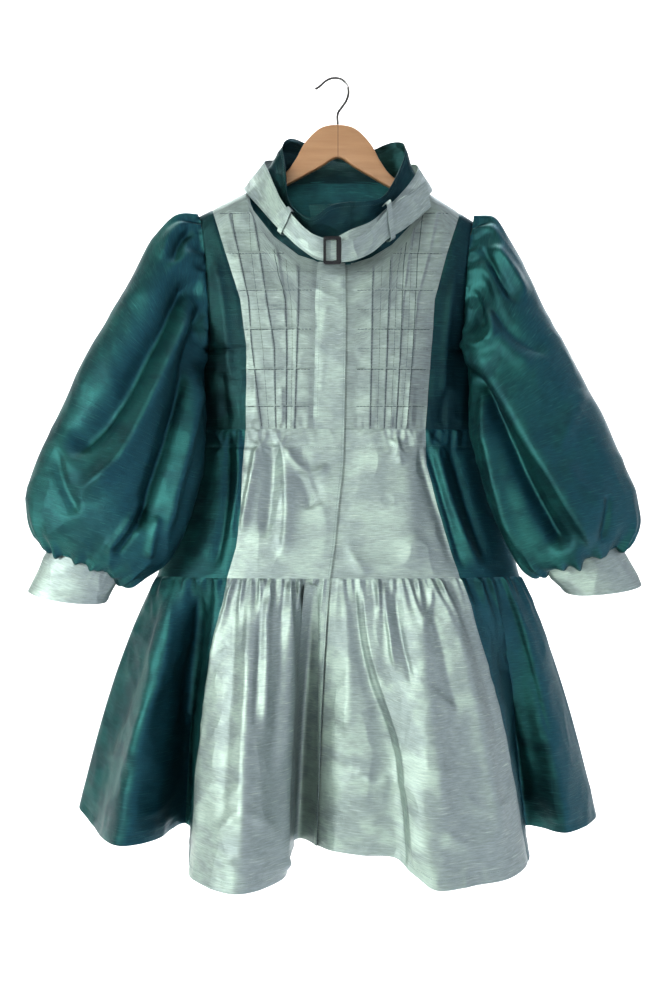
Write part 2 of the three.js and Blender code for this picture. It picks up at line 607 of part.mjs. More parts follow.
function sleeve(name) {
  const side = SIDES[name];
  const middle = (side.shoulderZ + UNDERARM_Z) / 2;
  const reach = (side.shoulderZ - UNDERARM_Z) / 2;
  const net = Array.from({ length: ROUND }, (_, i) => {
    const angle = (2 * Math.PI * i) / ROUND;
    const cos = Math.cos(angle);
    const z = middle + reach * cos;
    const armhole = bodyPoint(side, sideX(side)(z), z, Math.sin(angle) < 0 ? 'back' : 'front');
    armhole.x += side.sign * SEAM;
    const cells = SLEEVES[name].map((row, j) => {
      const p = vec(
        mix(row.ix, row.ox, (cos + 1) / 2),
        row.y - row.deep * Math.sin(angle) - row.lean * (1 - cos) / 2,
        mix(row.iz, row.oz, (cos + 1) / 2),
      );
      const fold = foldHeight(FOLDS[name], j + 1, THREE.MathUtils.radToDeg(angle));
      return { p, ripple: fold + row.gather * GATHER * (i % 2 ? 1 : -1) };
    });
    const end = { p: cuffPoint(CUFFS[name], 0.04, angle, 2 * SEAM), ripple: 0 };
    return [{ p: armhole, ripple: 0 }, ...cells, end];
  });
  const plain = weave(net.map((column) => column.map(({ p }) => ({ p }))), true);
  net.forEach((column, i) => column.forEach((cell, j) => {
    cell.p = cell.p.clone().addScaledVector(plain[i][j].n, -side.sign * cell.ripple);
  }));
  weave(net, true);
  net.forEach((column) => column.forEach((cell) => cell.n.multiplyScalar(-side.sign)));
  net.forEach((column) => column[0].n.setX(0).normalize());
  return net;
}

['left', 'right'].forEach((name) => {
  add(`sleeve_${name}`, wall(sleeve(name), { ring: true }), TEAL);
  const rows = [0, 0.5, 1];
  const net = weave(Array.from({ length: ROUND }, (_, i) => rows.map((v) => (
    { p: cuffPoint(CUFFS[name], v, (2 * Math.PI * i) / ROUND) }
  ))), true);
  net.forEach((column) => column.forEach((cell) => cell.n.multiplyScalar(-SIDES[name].sign)));
  add(`cuff_${name}`, wall(net, { ring: true }), SILVER);
});

// Collar: each station gives its upper edge, and where its lower edge stands on the neckline.
// The right front's end goes under the left one's.
const COLLAR = [
  { top: [17, -53, -170], low: 17, face: 'front' }, { top: [-9, -53, -175], low: -9, face: 'front' },
  { top: [-35, -50, -190], low: -30, face: 'front' }, { top: [-56, -44, -177], low: -53, face: 'front' },
  { top: [-64, -36, -161], low: -74, face: 'front' }, { top: [-66, -29, -145], low: -84, face: 'front' },
  { top: [-67, -22, -129], low: -93, face: 'front' },
  { top: [-70, -8, -104], low: -109, face: 'front' }, { top: [-72, 2, -88], low: -114.5, face: 'front' },
  { top: [-70, 8, -79], low: -117, face: 'back' }, { top: [-64, 16, -73], low: -113, face: 'back' },
  { top: [-55, 24, -72], low: -102, face: 'back' }, { top: [-43, 32, -75], low: -80, face: 'back' },
  { top: [-22, 38, -80], low: -40, face: 'back' }, { top: [0, 40, -82], low: 0, face: 'back' },
  { top: [24, 39, -83], low: 40, face: 'back' }, { top: [47, 34, -83], low: 80, face: 'back' },
  { top: [61, 26, -79], low: 102, face: 'back' }, { top: [74, 18, -77], low: 113, face: 'back' },
  { top: [83, 11, -79], low: 117, face: 'back' }, { top: [87, 4, -84], low: 114.5, face: 'front' },
  { top: [86, -7, -103], low: 107, face: 'front' }, { top: [74, -22, -133], low: 93, face: 'front' },
  { top: [67, -30, -147], low: 82, face: 'front' }, { top: [58, -38, -160], low: 70, face: 'front' },
  { top: [43, -44, -167], low: 45, face: 'front' },
  { top: [16, -49, -170], low: 15, face: 'front', under: lap },
  { top: [-10, -49.5, -173], low: -9, face: 'front', under: lap },
  { top: [-37, -46, -173], low: -32, face: 'front', under: lap },
];
const STAND = { up: 1.6, inside: 0.8 };  // the collar's foot clears the neckline by these
COLLAR.forEach((station) => {
  const side = station.low < 0 ? left : right;
  const z = read(NECKLINE, 'x', station.low, station.face === 'front' ? 'z' : 'back');
  const foot = bodyPoint(side, station.low, z, station.face);
  const inward = STAND.inside + (station.under ?? 0);
  foot.addScaledVector(vec(-foot.x, -foot.y, 0).normalize(), inward);
  station.low = [foot.x, foot.y, foot.z + STAND.up];
});
const STRAP = [
  { top: [-9, -60, -218], low: [-9, -60, -246] }, { top: [-28, -61, -214], low: [-26, -60, -244] },
  { top: [-41, -58, -205], low: [-47, -55, -230] }, { top: [-55, -53, -190], low: [-66, -49, -212] },
  { top: [-73, -38, -163], low: [-84, -41, -193] }, { top: [-86, -20, -132], low: [-102, -28, -170] },
  { top: [-92, -10, -117], low: [-116, -23, -154] }, { top: [-96, 0, -107], low: [-122, -3, -141] },
  { top: [-86, 24, -99], low: [-105, 26, -128] }, { top: [-48, 43, -98], low: [-60, 41, -122] },
  { top: [0, 48, -100], low: [0, 45, -122] }, { top: [50, 44, -101], low: [60, 41, -124] },
  { top: [89, 24, -104], low: [106, 26, -130] }, { top: [104, 0, -112], low: [123, -3, -143] },
  { top: [101, -11, -125], low: [117, -21, -156] }, { top: [92, -21, -140], low: [105, -29, -174] },
  { top: [71, -38, -166], low: [84, -41, -197] }, { top: [43, -52, -194], low: [46, -54, -226] },
  { top: [17, -58, -206], low: [20, -60, -238] },
];
const TAIL = [
  { top: [4.3, -65, -222], low: [4.3, -65, -249] }, { top: [26, -63, -216], low: [24, -64, -245] },
  { top: [43, -58, -203], low: [42, -60, -236] }, { top: [61, -53, -183], low: [65, -54, -216] },
  { top: [78, -44, -166], low: [82, -47, -205] }, { top: [96, -32, -152], low: [99, -41, -191] },
  { top: [113, -20, -136], low: [119, -30, -172] },
];

// Points of a strip at t along it: v 0 on its upper edge, 1 on its lower edge
function strip(stations, ring, bulge = 0) {
  const curve = (edge) => (
    new THREE.CatmullRomCurve3(stations.map((s) => vec(...s[edge])), ring, 'centripetal')
  );
  const [top, low] = [curve('top'), curve('low')];
  return (t, v) => {
    const p = top.getPoint(t).lerp(low.getPoint(t), v);
    const out = vec(p.x, p.y, 0).normalize();
    return p.addScaledVector(out, bulge * Math.sin(Math.PI * v));
  };
}

function stripNet(at, count, rows, ring, direction) {
  const columns = Array.from({ length: ring ? count : count + 1 }, (_, i) => (
    rows.map((v) => ({ p: at(i / count, v) }))
  ));
  weave(columns, ring);
  columns.forEach((column) => column.forEach((cell) => cell.n.multiplyScalar(direction)));
  return columns;
}

const collarAt = strip(COLLAR, false, -3);
const strapAt = strip(STRAP, true);
const tailAt = strip(TAIL, false);
add('collar', wall(stripNet(collarAt, 46, [0, 0.3, 0.65, 1], false, -1)), TEAL);
add('neck_strap', wall(stripNet(strapAt, 42, [0, 0.5, 1], true, -1)), SILVER);
add('strap_tail', wall(stripNet(tailAt, 16, [0, 0.5, 1], false, 1)), SILVER);

// Strap loops: from the collar over the strap's face and back under it
const LOOP_WIDTH = 8;
function strapLoop(name, at, t, { stand, above, below, reachTop, reachLow, sign }) {
  const along = at(t + 0.01, 0.5).sub(at(t - 0.01, 0.5));
  const half = (0.02 * LOOP_WIDTH) / 2 / along.length();
  along.setZ(0).normalize();
  const out = vec(along.y, -along.x, 0).multiplyScalar(sign);
  const net = weave([t - half, t + half].map((place) => {
    const top = at(place, 0);
    const low = at(place, 1);
    const rise = top.clone().sub(low).normalize();
    top.addScaledVector(rise, above);
    low.addScaledVector(rise, -below);
    const points = [
      top.clone().addScaledVector(out, -reachTop), top.clone().addScaledVector(out, stand),
      top.clone().lerp(low, 0.5).addScaledVector(out, stand),
      low.clone().addScaledVector(out, stand), low.clone().addScaledVector(out, -reachLow),
    ];
    return points.map((p) => ({ p }));
  }));
  net.forEach((column) => column.forEach((cell) => cell.n.multiplyScalar(sign)));
  add(name, wall(net, { thick: 1.3 }), SILVER);
}
const LOOPS = {
  left: { stand: 1.75, above: 3, below: 3, reachTop: 4, reachLow: 6, sign: -1 },
  right: { stand: 1.65, above: 9, below: 4, reachTop: 12, reachLow: 12, sign: 1 },
};
strapLoop('loop_left', strapAt, 3.35 / STRAP.length, LOOPS.left);
strapLoop('loop_right', tailAt, 3.2 / (TAIL.length - 1), LOOPS.right);

// Slide buckle of the strap
const BUCKLE = { x: -7.2, z: -233.4, wide: 22.4, tall: 35, bar: 4, deep: 4, y: -65.05 };
const WINDOW = { x: -1.4, wide: 13.2 };
function rounded(shape, wide, tall, r) {
  const [w, h] = [wide / 2, tall / 2];
  shape.moveTo(-w + r, -h).lineTo(w - r, -h).quadraticCurveTo(w, -h, w, -h + r);
  shape.lineTo(w, h - r).quadraticCurveTo(w, h, w - r, h).lineTo(-w + r, h);
  shape.quadraticCurveTo(-w, h, -w, h - r).lineTo(-w, -h + r).quadraticCurveTo(-w, -h, -w + r, -h);
  return shape;
}
const buckleShape = rounded(new THREE.Shape(), BUCKLE.wide, BUCKLE.tall, 3);
const cutOut = rounded(new THREE.Path(), WINDOW.wide, BUCKLE.tall - 2 * BUCKLE.bar, 1.5).getPoints(3);
const hole = new THREE.Path(cutOut.map((p) => new THREE.Vector2(p.x + WINDOW.x, p.y)));
buckleShape.holes.push(hole);
const buckle = new THREE.ExtrudeGeometry(buckleShape, {
  depth: BUCKLE.deep, bevelEnabled: false, curveSegments: 3,
});
buckle.rotateX(Math.PI / 2);
buckle.translate(BUCKLE.x, BUCKLE.y + BUCKLE.deep, BUCKLE.z);
add('buckle', buckle, BLACK);

// Wooden hanger: upper and lower edge from the middle to each end of the arms
const ARMS = [
  { x: 0, top: -59.6, low: -102 }, { x: 22, top: -63.5, low: -114 }, { x: 43, top: -83.5, low: -125.5 },
  { x: 55, top: -105, low: -132 }, { x: 68, top: -122, low: -139 }, { x: 90, top: -136, low: -152 },
];
const armEnd = 204;
const shoulderSeat = CLOTH + 4.5 * SEAM;
function armEdge(side) {
  const far = (x) => shoulderLine(side, x) - shoulderSeat;
  const tops = ARMS.map(({ x, top }) => ({ x, z: top }));
  const lows = ARMS.map(({ x, low }) => ({ x, z: low }));
  const tilt = side.sign > 0 ? 2.5 : 0;
  [tops, lows].forEach((list) => list.forEach((row) => { row.z -= tilt * (row.x / 68); }));
  [118, 150, side.shoulder + 1].forEach((x) => {
    tops.push({ x, z: far(x) });
    lows.push({ x, z: far(x) - 16.5 });
  });
  const tip = shoulderLine(side, armEnd) - shoulderSeat - 8;
  return [...tops, { x: armEnd - 4, z: tip + 5 }, { x: armEnd, z: tip }, { x: armEnd - 5, z: tip - 6 },
    ...lows.toReversed()];
}
const woodNet = [];
const outline = [...armEdge(right), ...armEdge(left).map(({ x, z }) => ({ x: -x, z })).toReversed()];
outline.splice(armEdge(right).length, 1);
outline.pop();
outline.forEach(({ x, z }) => woodNet.push(new THREE.Vector2(x, z)));
const woodShape = new THREE.Shape(woodNet);
const WOOD_ROUND = 4.5;  // radius of the wood's edges
const hanger = new THREE.ExtrudeGeometry(woodShape, {
  depth: WOOD - 2 * WOOD_ROUND, bevelEnabled: true, bevelSegments: 3,
  bevelThickness: WOOD_ROUND, bevelSize: WOOD_ROUND, bevelOffset: -WOOD_ROUND,
});
hanger.translate(0, 0, WOOD_ROUND - WOOD / 2);
hanger.rotateX(Math.PI / 2);
add('hanger_wood', hanger, MAPLE);

// Hook wire, from the wood up and round
const HOOK = [
  [0, -59.2], [0, -44], [4.4, -37.3], [11.2, -27.3], [14, -17.2], [12.4, -8.4], [7, -1.2],
  [0, 1.7], [-8, 1.6], [-16.5, -2.4], [-22.5, -8.2], [-29.6, -12.7],
];
const hookPath = new THREE.CatmullRomCurve3(HOOK.map(([x, z]) => vec(x, 0, z)), false, 'centripetal');
const section = new THREE.Shape().absarc(0, 0, WIRE / 2, 0, 2 * Math.PI, false);
const hook = new THREE.ExtrudeGeometry(section, { steps: 28, curveSegments: 4, extrudePath: hookPath });
add('hanger_hook', hook, CHROME);

export default dress;
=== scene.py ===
# Coat dress with balloon sleeves and a gathered lower tier, on a wooden hanger.
# Same frame as the CAD: +Z up, the front faces -Y, the origin is inside the hook's bend.
# Cloth is worked out in millimetres and scaled when its mesh is made.
import math

import bpy
import numpy as np
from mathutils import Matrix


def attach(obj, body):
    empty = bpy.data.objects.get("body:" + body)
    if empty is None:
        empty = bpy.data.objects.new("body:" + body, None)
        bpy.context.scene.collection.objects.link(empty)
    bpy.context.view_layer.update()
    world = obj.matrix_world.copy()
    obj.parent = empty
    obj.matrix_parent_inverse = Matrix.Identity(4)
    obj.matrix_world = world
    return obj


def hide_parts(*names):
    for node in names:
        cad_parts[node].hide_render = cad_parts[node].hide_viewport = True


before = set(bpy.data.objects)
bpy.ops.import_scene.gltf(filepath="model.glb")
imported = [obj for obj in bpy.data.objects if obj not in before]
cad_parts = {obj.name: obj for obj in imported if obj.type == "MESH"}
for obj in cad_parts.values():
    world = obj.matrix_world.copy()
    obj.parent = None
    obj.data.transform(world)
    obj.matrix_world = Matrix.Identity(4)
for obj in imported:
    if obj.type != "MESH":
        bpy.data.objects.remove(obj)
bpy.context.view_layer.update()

# Bodice: two silver front yokes crossed by pressed tucks, the fly front's band, teal side fronts
# and a plain teal back. They are cut from shot taffeta, seamed down the front and at the
# shoulders, and drawn in by a cord at the waist.
MM = 0.001
# Heights, laps and turns, as in the CAD
WAIST = -456.0
TIER = -645.0
UNDERARM = -352.0
UNDERLAP = 37.0
LAP_WIDE = 12.0
LAP = 2.7
ROLL = 13.0
ARMHOLE_DEPTH = 20.0
# The body's outline, as in the CAD: half widths and depths by height, neckline
SIDE = {
    -1: dict(neck=117.0, neck_z=-147.0, shoulder=180.0, shoulder_z=-179.0, underarm=169.0),
    1: dict(neck=117.0, neck_z=-148.0, shoulder=176.0, shoulder_z=-186.0, underarm=165.0),
}
SEAM_Z = [UNDERARM, -362, -405, WAIST, -488, -521, -560, -605, TIER]
SEAM_X = {-1: [169, 176, 177, 177, 180, 188, 203, 221, 235],
          1: [165, 172, 175, 178, 184, 194, 210, 226, 236]}
DEPTH_Z = [-140, -200, -260, UNDERARM, WAIST, -500, -560, TIER]
DEPTH = {"front": [20, 25, 36, 41, 36, 41, 51, 66], "back": [22, 27, 30, 33, 34, 38, 46, 60]}
NECK_X = [-117, -109, -82, -50, -25, 0, 21, 42, 69, 95, 117]
NECK_Z = {
    "front": [-147, -174, -209, -234, -242, -245, -243, -237, -220, -192, -148],
    "back": [-147, -140, -133, -129, -128, -128, -128, -129, -132, -137, -148],
}


def mix(a, b, t):
    return a + (b - a) * t


def falling(z, heights, values):
    """Value at height z from a table whose heights fall."""
    return np.interp(-np.asarray(z, float), -np.asarray(heights, float), values)


def of_side(x, key):
    """A side's number for each x, the left of the picture where x is negative."""
    return np.where(np.asarray(x) < 0, SIDE[-1][key], SIDE[1][key])


def shoulder_line(x):
    share = (np.abs(x) - of_side(x, "neck")) / (of_side(x, "shoulder") - of_side(x, "neck"))
    return mix(of_side(x, "neck_z"), of_side(x, "shoulder_z"), share)


def side_edge(sign, z):
    """Half width of the body at height z."""
    s = SIDE[sign]
    z = np.asarray(z, float)
    half = (s["shoulder_z"] - UNDERARM) / 2
    cos = np.clip((z - (s["shoulder_z"] + UNDERARM) / 2) / half, -1, 1)
    chord = mix(s["underarm"], s["shoulder"], (cos + 1) / 2) - 6 * np.sqrt(1 - cos * cos)
    return np.where(z >= UNDERARM, chord, falling(z, SEAM_Z, SEAM_X[sign]))


def body_point(x, z, face):
    x, z = np.broadcast_arrays(np.asarray(x, float), np.asarray(z, float))
    edge = np.where(x < 0, side_edge(-1, z), side_edge(1, z))
    width = np.clip(np.abs(x) / edge, 0, 1)
    full = (1 - width ** 2.6) ** 0.55
    shoulder = shoulder_line(x)
    turn = np.sqrt(1 - (1 - np.clip((shoulder - z) / ROLL, 0, 1)) ** 2)
    down = np.clip((shoulder - z) / (shoulder - UNDERARM), 0, 1)
    armhole = ARMHOLE_DEPTH * np.sin(np.arccos(1 - 2 * down)) ** 0.6
    depth = mix(armhole, falling(z, DEPTH_Z, DEPTH[face]) * turn, full)
    return np.stack([x, -depth if face == "front" else depth, z], -1)


TUCK_Z = [-178, -231, -279, -329, -380, -427]
TUCK = 1.15
LINE_Z = [-170, -230, -290, -350, WAIST]
LEFT_TUCKS = [[-141, -127, -114, -110, -97], [-110, -100, -91, -81, -79],
              [-84, -77, -67, -65, -66], [-50, -50, -50, -52, -55]]
RIGHT_TUCKS = [[46, 46, 44, 43, 41], [72, 69, 66, 63, 59], [103, 92, 84, 80, 74],
               [130, 118, 102, 96, 88]]
LEFT_PRINCESS = [-163, -144, -125, -117, -118]
RIGHT_PRINCESS = [160, 140, 124, 120, 112]
BAND = [-25, -25, -29, -29, -32]
EDGE = [9, 9, 10, 10, 8]
BODICE_Z = np.array(sorted({round(z, 2) for z in [*np.arange(-455.0, -172.0, 3.0), WAIST]
                            + [t + o for t in TUCK_Z for o in (-1.6, -0.5, 0.5, 1.6, 3.2)]}, reverse=True))


def along_line(xs, shift=0.0):
    return lambda z: falling(z, LINE_Z, xs) + shift


def side_line(sign):
    return lambda z: sign * side_edge(sign, z)


EDGE_ROUNDS = 24


def top_edge(x_of, face):
    """Height of the neck or shoulder where a column starts, found by going back and forth."""
    z = SIDE[-1]["neck_z"]
    for _ in range(EDGE_ROUNDS):
        x = float(x_of(z))
        z = float(np.interp(x, NECK_X, NECK_Z[face]) if abs(x) < SIDE[1]["neck"] else shoulder_line(x))
    return z


def bodice_rows(top):
    """Heights of a column: the turn over the shoulder, then levels pressed below it."""
    turn = top - np.array([0, 0.3, 1.0, 2.2, 4.0, 6.5, 9.5, ROLL])
    start = top - ROLL
    order = np.arange(len(BODICE_Z))
    first = int(np.argmax(BODICE_Z < start - 1.2 * (order + 1)))
    squeezed = start + (BODICE_Z[first] - start) * (order + 1) / (first + 1)
    return np.concatenate([turn, np.where(order < first, squeezed, BODICE_Z)])


def blended(a, b, t):
    return lambda z: mix(a(z), b(z), t)


def columns_between(lines, counts):
    """Column functions, `counts` of them from each line to the next."""
    columns = []
    for a, b, count in zip(lines[:-1], lines[1:], counts):
        columns += [blended(a, b, k / count) for k in range(count)]
    return columns + [lines[-1]]


def bodice_net(columns, face):
    net = []
    for x_of in columns:
        z = bodice_rows(top_edge(x_of, face))
        net.append(body_point(x_of(z), z, face))
    return np.array(net)


def yoke_lines(tucks):
    lines = []
    for xs in tucks:
        lines += [along_line(xs, -0.5), along_line(xs, 0.5)]
    return lines


left_lines = [side_line(-1), along_line(LEFT_PRINCESS), *yoke_lines(LEFT_TUCKS), along_line(BAND),
              along_line(EDGE)]
LEFT_COUNTS = [20, 8, 1, 11, 1, 9, 1, 6, 1, 9, 16]
left_net = bodice_net(columns_between(left_lines, LEFT_COUNTS), "front")
right_lines = [along_line(EDGE, -UNDERLAP), along_line(EDGE, LAP_WIDE), *yoke_lines(RIGHT_TUCKS),
               along_line(RIGHT_PRINCESS), side_line(1)]
RIGHT_COUNTS = [20, 11, 1, 9, 1, 11, 1, 10, 1, 8, 20]
right_net = bodice_net(columns_between(right_lines, RIGHT_COUNTS), "front")
back_lines = [side_line(1), lambda z: 0 * np.asarray(z, float) + 0.01, side_line(-1)]
back_net = bodice_net(columns_between(back_lines, [48, 48]), "back")

left_princess = sum(LEFT_COUNTS[:1])
left_band = sum(LEFT_COUNTS[:-1])
right_princess = sum(RIGHT_COUNTS[:-1])


def smooth(t):
    t = np.clip(t, 0.0, 1.0)
    return t * t * (3 - 2 * t)


def noise(points, size, seed):
    """Smooth lumps from -1 to 1, about `size` mm across."""
    q = points / size + seed * 7.31
    cell = np.floor(q).astype(np.int64)
    f = q - cell
    f = f * f * (3 - 2 * f)
    total = 0.0
    for corner in np.ndindex(2, 2, 2):
        c = cell + np.array(corner)
        h = (c[..., 0] * 374761393 + c[..., 1] * 668265263 + c[..., 2] * 1103515245 + seed * 97) & 0x7FFFFFFF
        h = ((h ^ (h >> 13)) * 1274126177) & 0x7FFFFFFF
        value = ((h ^ (h >> 16)) & 0xFFFF) / 32767.5 - 1
        weight = np.prod(np.where(np.array(corner) == 1, f, 1 - f), axis=-1)
        total = total + value * weight
    return total


def tucked(net, tucks):
    """Height of the crossed tucks of a yoke, each a slow rise that ends in a sharp step."""
    x, z = net[..., 0], net[..., 2]
    uneven = 1 + 0.35 * noise(net, 9.0, 3)
    height = np.zeros_like(x)
    for xs in tucks:
        d = x - falling(z, LINE_Z, xs)
        height = np.maximum(height, np.where(d <= -0.4, np.exp(np.minimum(d, 0) / 6), 0))
    cross = np.zeros_like(x)
    for level in TUCK_Z:
        d = z - level
        cross = np.maximum(cross, np.where(d >= 0.4, np.exp(-np.maximum(d, 0) / 6), 0))
    pillow = 0.7 * noise(net, 24.0, 8) + 0.3 * noise(net, 8.0, 9)
    return TUCK * np.maximum(height, cross) * uneven + pillow * smooth((-150 - z) / 20)


BODICE_FOLDS = [
    ([(-158, -230), (-146, -300), (-137, -400)], 3.0, 7, 9),
    ([(-150, -380), (-140, -450)], -3.0, 5, 8),
    ([(150, -250), (140, -330), (134, -440)], 3.0, 8, 7),
    ([(139, -400), (131, -452)], -3.0, 6, 6),
    ([(-106, -380), (-104, -454)], 2.6, 5, 6),
    ([(-72, -400), (-71, -455)], 2.2, 4, 5),
    ([(94, -390), (92, -455)], 2.6, 5, 5),
]
BACK_FOLDS = [
    ([(-120, -200), (-100, -320), (-90, -450)], 3.0, 9, 8),
    ([(110, -210), (96, -330), (84, -450)], 3.0, 8, 9),
    ([(-40, -170), (-30, -300), (-36, -440)], -2.2, 12, 10),
    ([(44, -180), (36, -320), (40, -440)], 2.2, 12, 10),
]


def curve(points, t, closed=False):
    """Centripetal curve through points, at t from 0 to 1, the same as the CAD's."""
    points = np.asarray(points, float)
    count = len(points)
    t = np.atleast_1d(np.asarray(t, float)) * (count if closed else count - 1)
    start = np.floor(t).astype(int)
    if not closed:
        start = np.clip(start, 0, count - 2)
    w = (t - start)[:, None]

    def at(k):
        if closed:
            return points[k % count]
        before = 2 * points[0] - points[1]
        after = 2 * points[-1] - points[-2]
        inner = points[np.clip(k, 0, count - 1)]
        inner = np.where((k < 0)[:, None], before, inner)
        return np.where((k > count - 1)[:, None], after, inner)

    p0, p1, p2, p3 = at(start - 1), at(start), at(start + 1), at(start + 2)
    d1, d2, d3 = (np.maximum(np.linalg.norm(b - a, axis=1)[:, None] ** 0.5, 1e-4)
                  for a, b in ((p0, p1), (p1, p2), (p2, p3)))
    m1 = ((p1 - p0) / d1 - (p2 - p0) / (d1 + d2) + (p2 - p1) / d2) * d2
    m2 = ((p2 - p1) / d2 - (p3 - p1) / (d2 + d3) + (p3 - p2) / d3) * d2
    w2, w3 = w * w, w * w * w
    return (2 * w3 - 3 * w2 + 1) * p1 + (w3 - 2 * w2 + w) * m1 + (3 * w2 - 2 * w3) * p2 + (w3 - w2) * m2


def facing(net, ring=False):
    """Unit normals of a net: down crossed with across."""
    if ring:
        across = np.roll(net, -1, axis=0) - np.roll(net, 1, axis=0)
    else:
        across = np.gradient(net, axis=0)
    down = np.gradient(net, axis=1)
    n = np.cross(down, across)
    return n / np.maximum(np.linalg.norm(n, axis=2, keepdims=True), 1e-9)


def crease(net, normal, path, height, left, right, ends=0.18, face=-1):
    """Height of a fold that runs along path, its x and z as seen from the front. left and
    right are how far it reaches to each side, looking along the path in the picture."""
    path = curve([(x, 0, z) for x, z in path], np.linspace(0, 1, 22))[:, [0, 2]]
    place = net[..., [0, 2]]
    lengths = np.linalg.norm(np.diff(path, axis=0), axis=1)
    total = lengths.sum()
    best = np.full(place.shape[:2], 1e9)
    along = np.zeros_like(best)
    side = np.zeros_like(best)
    run = 0.0
    for a, b, length in zip(path[:-1], path[1:], lengths):
        t = np.clip(((place - a) @ (b - a)) / length ** 2, 0, 1)
        off = place - a - t[..., None] * (b - a)
        d = np.hypot(off[..., 0], off[..., 1])
        near = d < best
        best = np.where(near, d, best)
        along = np.where(near, (run + t * length) / total, along)
        cross = (b - a)[0] * off[..., 1] - (b - a)[1] * off[..., 0]
        side = np.where(near, cross, side)
        run += length
    width = np.where(side > 0, left, right)
    shape = 1 / (1 + (best / width) ** 2) ** 1.6
    taper = smooth(along / ends) * smooth((1 - along) / ends)
    shown = smooth(face * normal[..., 1] / 0.35)
    return height * shape * taper * shown


def folded(net, folds, face=-1, ring=False, sign=1):
    """Height of all folds of a table: path, height, left, right and where given ends."""
    normal = facing(net, ring) * sign
    total = np.zeros(net.shape[:2])
    for fold in folds:
        total += crease(net, normal, *fold, face=face)
    return total


def spread(count, seed, low=0.0, high=1.0, shake=0.3):
    """Places of `count` gathers, unevenly apart."""
    rng = np.random.default_rng(seed)
    return low + (high - low) * (np.arange(count) + 0.5 + shake * rng.uniform(-1, 1, count)) / count


def gathers(across, down, centres, width, height, length, seed, drift=0.0):
    """Pleats that start at a seam: across is the place along it, down the distance from it."""
    rng = np.random.default_rng(seed)
    total = np.zeros_like(down)
    for c in centres:
        h = height * rng.uniform(0.55, 1.25)
        far = length * rng.uniform(0.45, 1.5)
        lean = drift * rng.uniform(-1, 1)
        w = width * rng.uniform(0.75, 1.25) * (1 + 0.6 * down / far)
        total += h * np.exp(-((across - c - lean * down / far) / w) ** 2) * np.exp(-(down / far) ** 1.4)
    return (total - 0.45 * height * np.exp(-(down / length) ** 1.4)) * smooth(down / 3.0)


def waist_gathers(net, seed, height=1.6):
    """Small pleats that the drawstring draws into the cloth just above the waist."""
    down = net[..., 2] - WAIST
    across = net[..., 0]
    places = spread(int(np.ptp(across[:, -1]) / 8.5), seed, across[:, -1].min(), across[:, -1].max())
    return gathers(across, down, places, 2.6, height, 22.0, seed, 4.0)


def crumple(points, size, seed):
    """Crisp small ridges, as taffeta keeps them, from about -0.3 to 1."""
    warp = points + 0.35 * size * noise(points, size * 1.7, seed + 5)[..., None]
    return 1.0 - 3.0 * np.abs(noise(warp, size, seed)) ** 0.8


def edge_calm(net, first=False, final=False, top=True):
    """Keeps the edges that meet a neighbour where the CAD has them."""
    columns, rows = net.shape[:2]
    i = np.arange(columns)[:, None] + 0 * np.arange(rows)[None, :]
    calm = np.ones((columns, rows))
    if first:
        calm *= smooth(i / 5)
    if final:
        calm *= smooth((columns - 1 - i) / 5)
    if top:
        calm *= smooth((np.arange(rows)[None, :] - 5) / 8)
    return calm


def seam_dip(shape, columns, depth=0.7, width=1.6):
    """A shallow groove on each side of the seams that run along these columns."""
    i = np.arange(shape[0])[:, None]
    dip = np.zeros(shape[:2])
    for c in columns:
        dip = np.minimum(dip, -depth * np.exp(-((i - c) / width) ** 2))
    return dip


def lift(net, height, ring=False, sign=1):
    """Moves a net's points out along its own normals."""
    return net + np.asarray(height)[..., None] * facing(net, ring) * sign


tuck_left = tucked(left_net, LEFT_TUCKS)
tuck_left[:left_princess] = 0
tuck_left[left_band + 1:] = 0
tuck_right = tucked(right_net, RIGHT_TUCKS)
tuck_right[right_princess + 1:] = 0
out = right_net[..., 0] - falling(right_net[..., 2], LINE_Z, EDGE)
under = -LAP * (1 - smooth((out - 2) / 38))
tuck_right *= smooth((out - 2) / 10)
small = 0.5
height = tuck_left + folded(left_net, BODICE_FOLDS) + small * crumple(left_net, 26, 11)
height += waist_gathers(left_net, 21) * smooth((-22 - left_net[..., 0]) / 12)
height *= edge_calm(left_net, first=True)
height += seam_dip(left_net.shape, [left_princess, left_band])
left_net = lift(left_net, height)
height = tuck_right + folded(right_net, BODICE_FOLDS) + small * crumple(right_net, 26, 12)
height += waist_gathers(right_net, 22)
height *= edge_calm(right_net, final=True) * smooth((out - 4) / 14)
height += under + seam_dip(right_net.shape, [right_princess])
right_net = lift(right_net, height)
height = folded(back_net, BACK_FOLDS, face=1) + 0.9 * crumple(back_net, 40, 13) + waist_gathers(back_net, 23)
back_net = lift(back_net, height * edge_calm(back_net, first=True, final=True))


# Taffeta: slubs along the weft, fine threads, and a soft two-tone lustre, painted into the colour as shade
# where the cloth faces the right
def add_node(tree, kind, inputs=None, **settings):
    """A shader node; each of its inputs takes a value or another node's output."""
    node = tree.nodes.new("ShaderNode" + kind)
    for key, value in settings.items():
        setattr(node, key, value)
    for key, value in (inputs or {}).items():
        if isinstance(value, bpy.types.NodeSocket):
            tree.links.new(value, node.inputs[key])
        else:
            node.inputs[key].default_value = value
    return node


def blend(tree, share, a, b):
    """The colour between a and b."""
    return add_node(tree, "Mix", {"Factor": share, "A": a, "B": b}, data_type="RGBA").outputs["Result"]


def plain(name, colour, rough, inputs=None):
    """A material of one colour, with further inputs of its shader by name."""
    material = bpy.data.materials.new(name)
    material.use_nodes = True
    shader = material.node_tree.nodes["Principled BSDF"]
    for key, value in {"Base Color": (*colour, 1), "Roughness": rough, **(inputs or {})}.items():
        shader.inputs[key].default_value = value
    return material


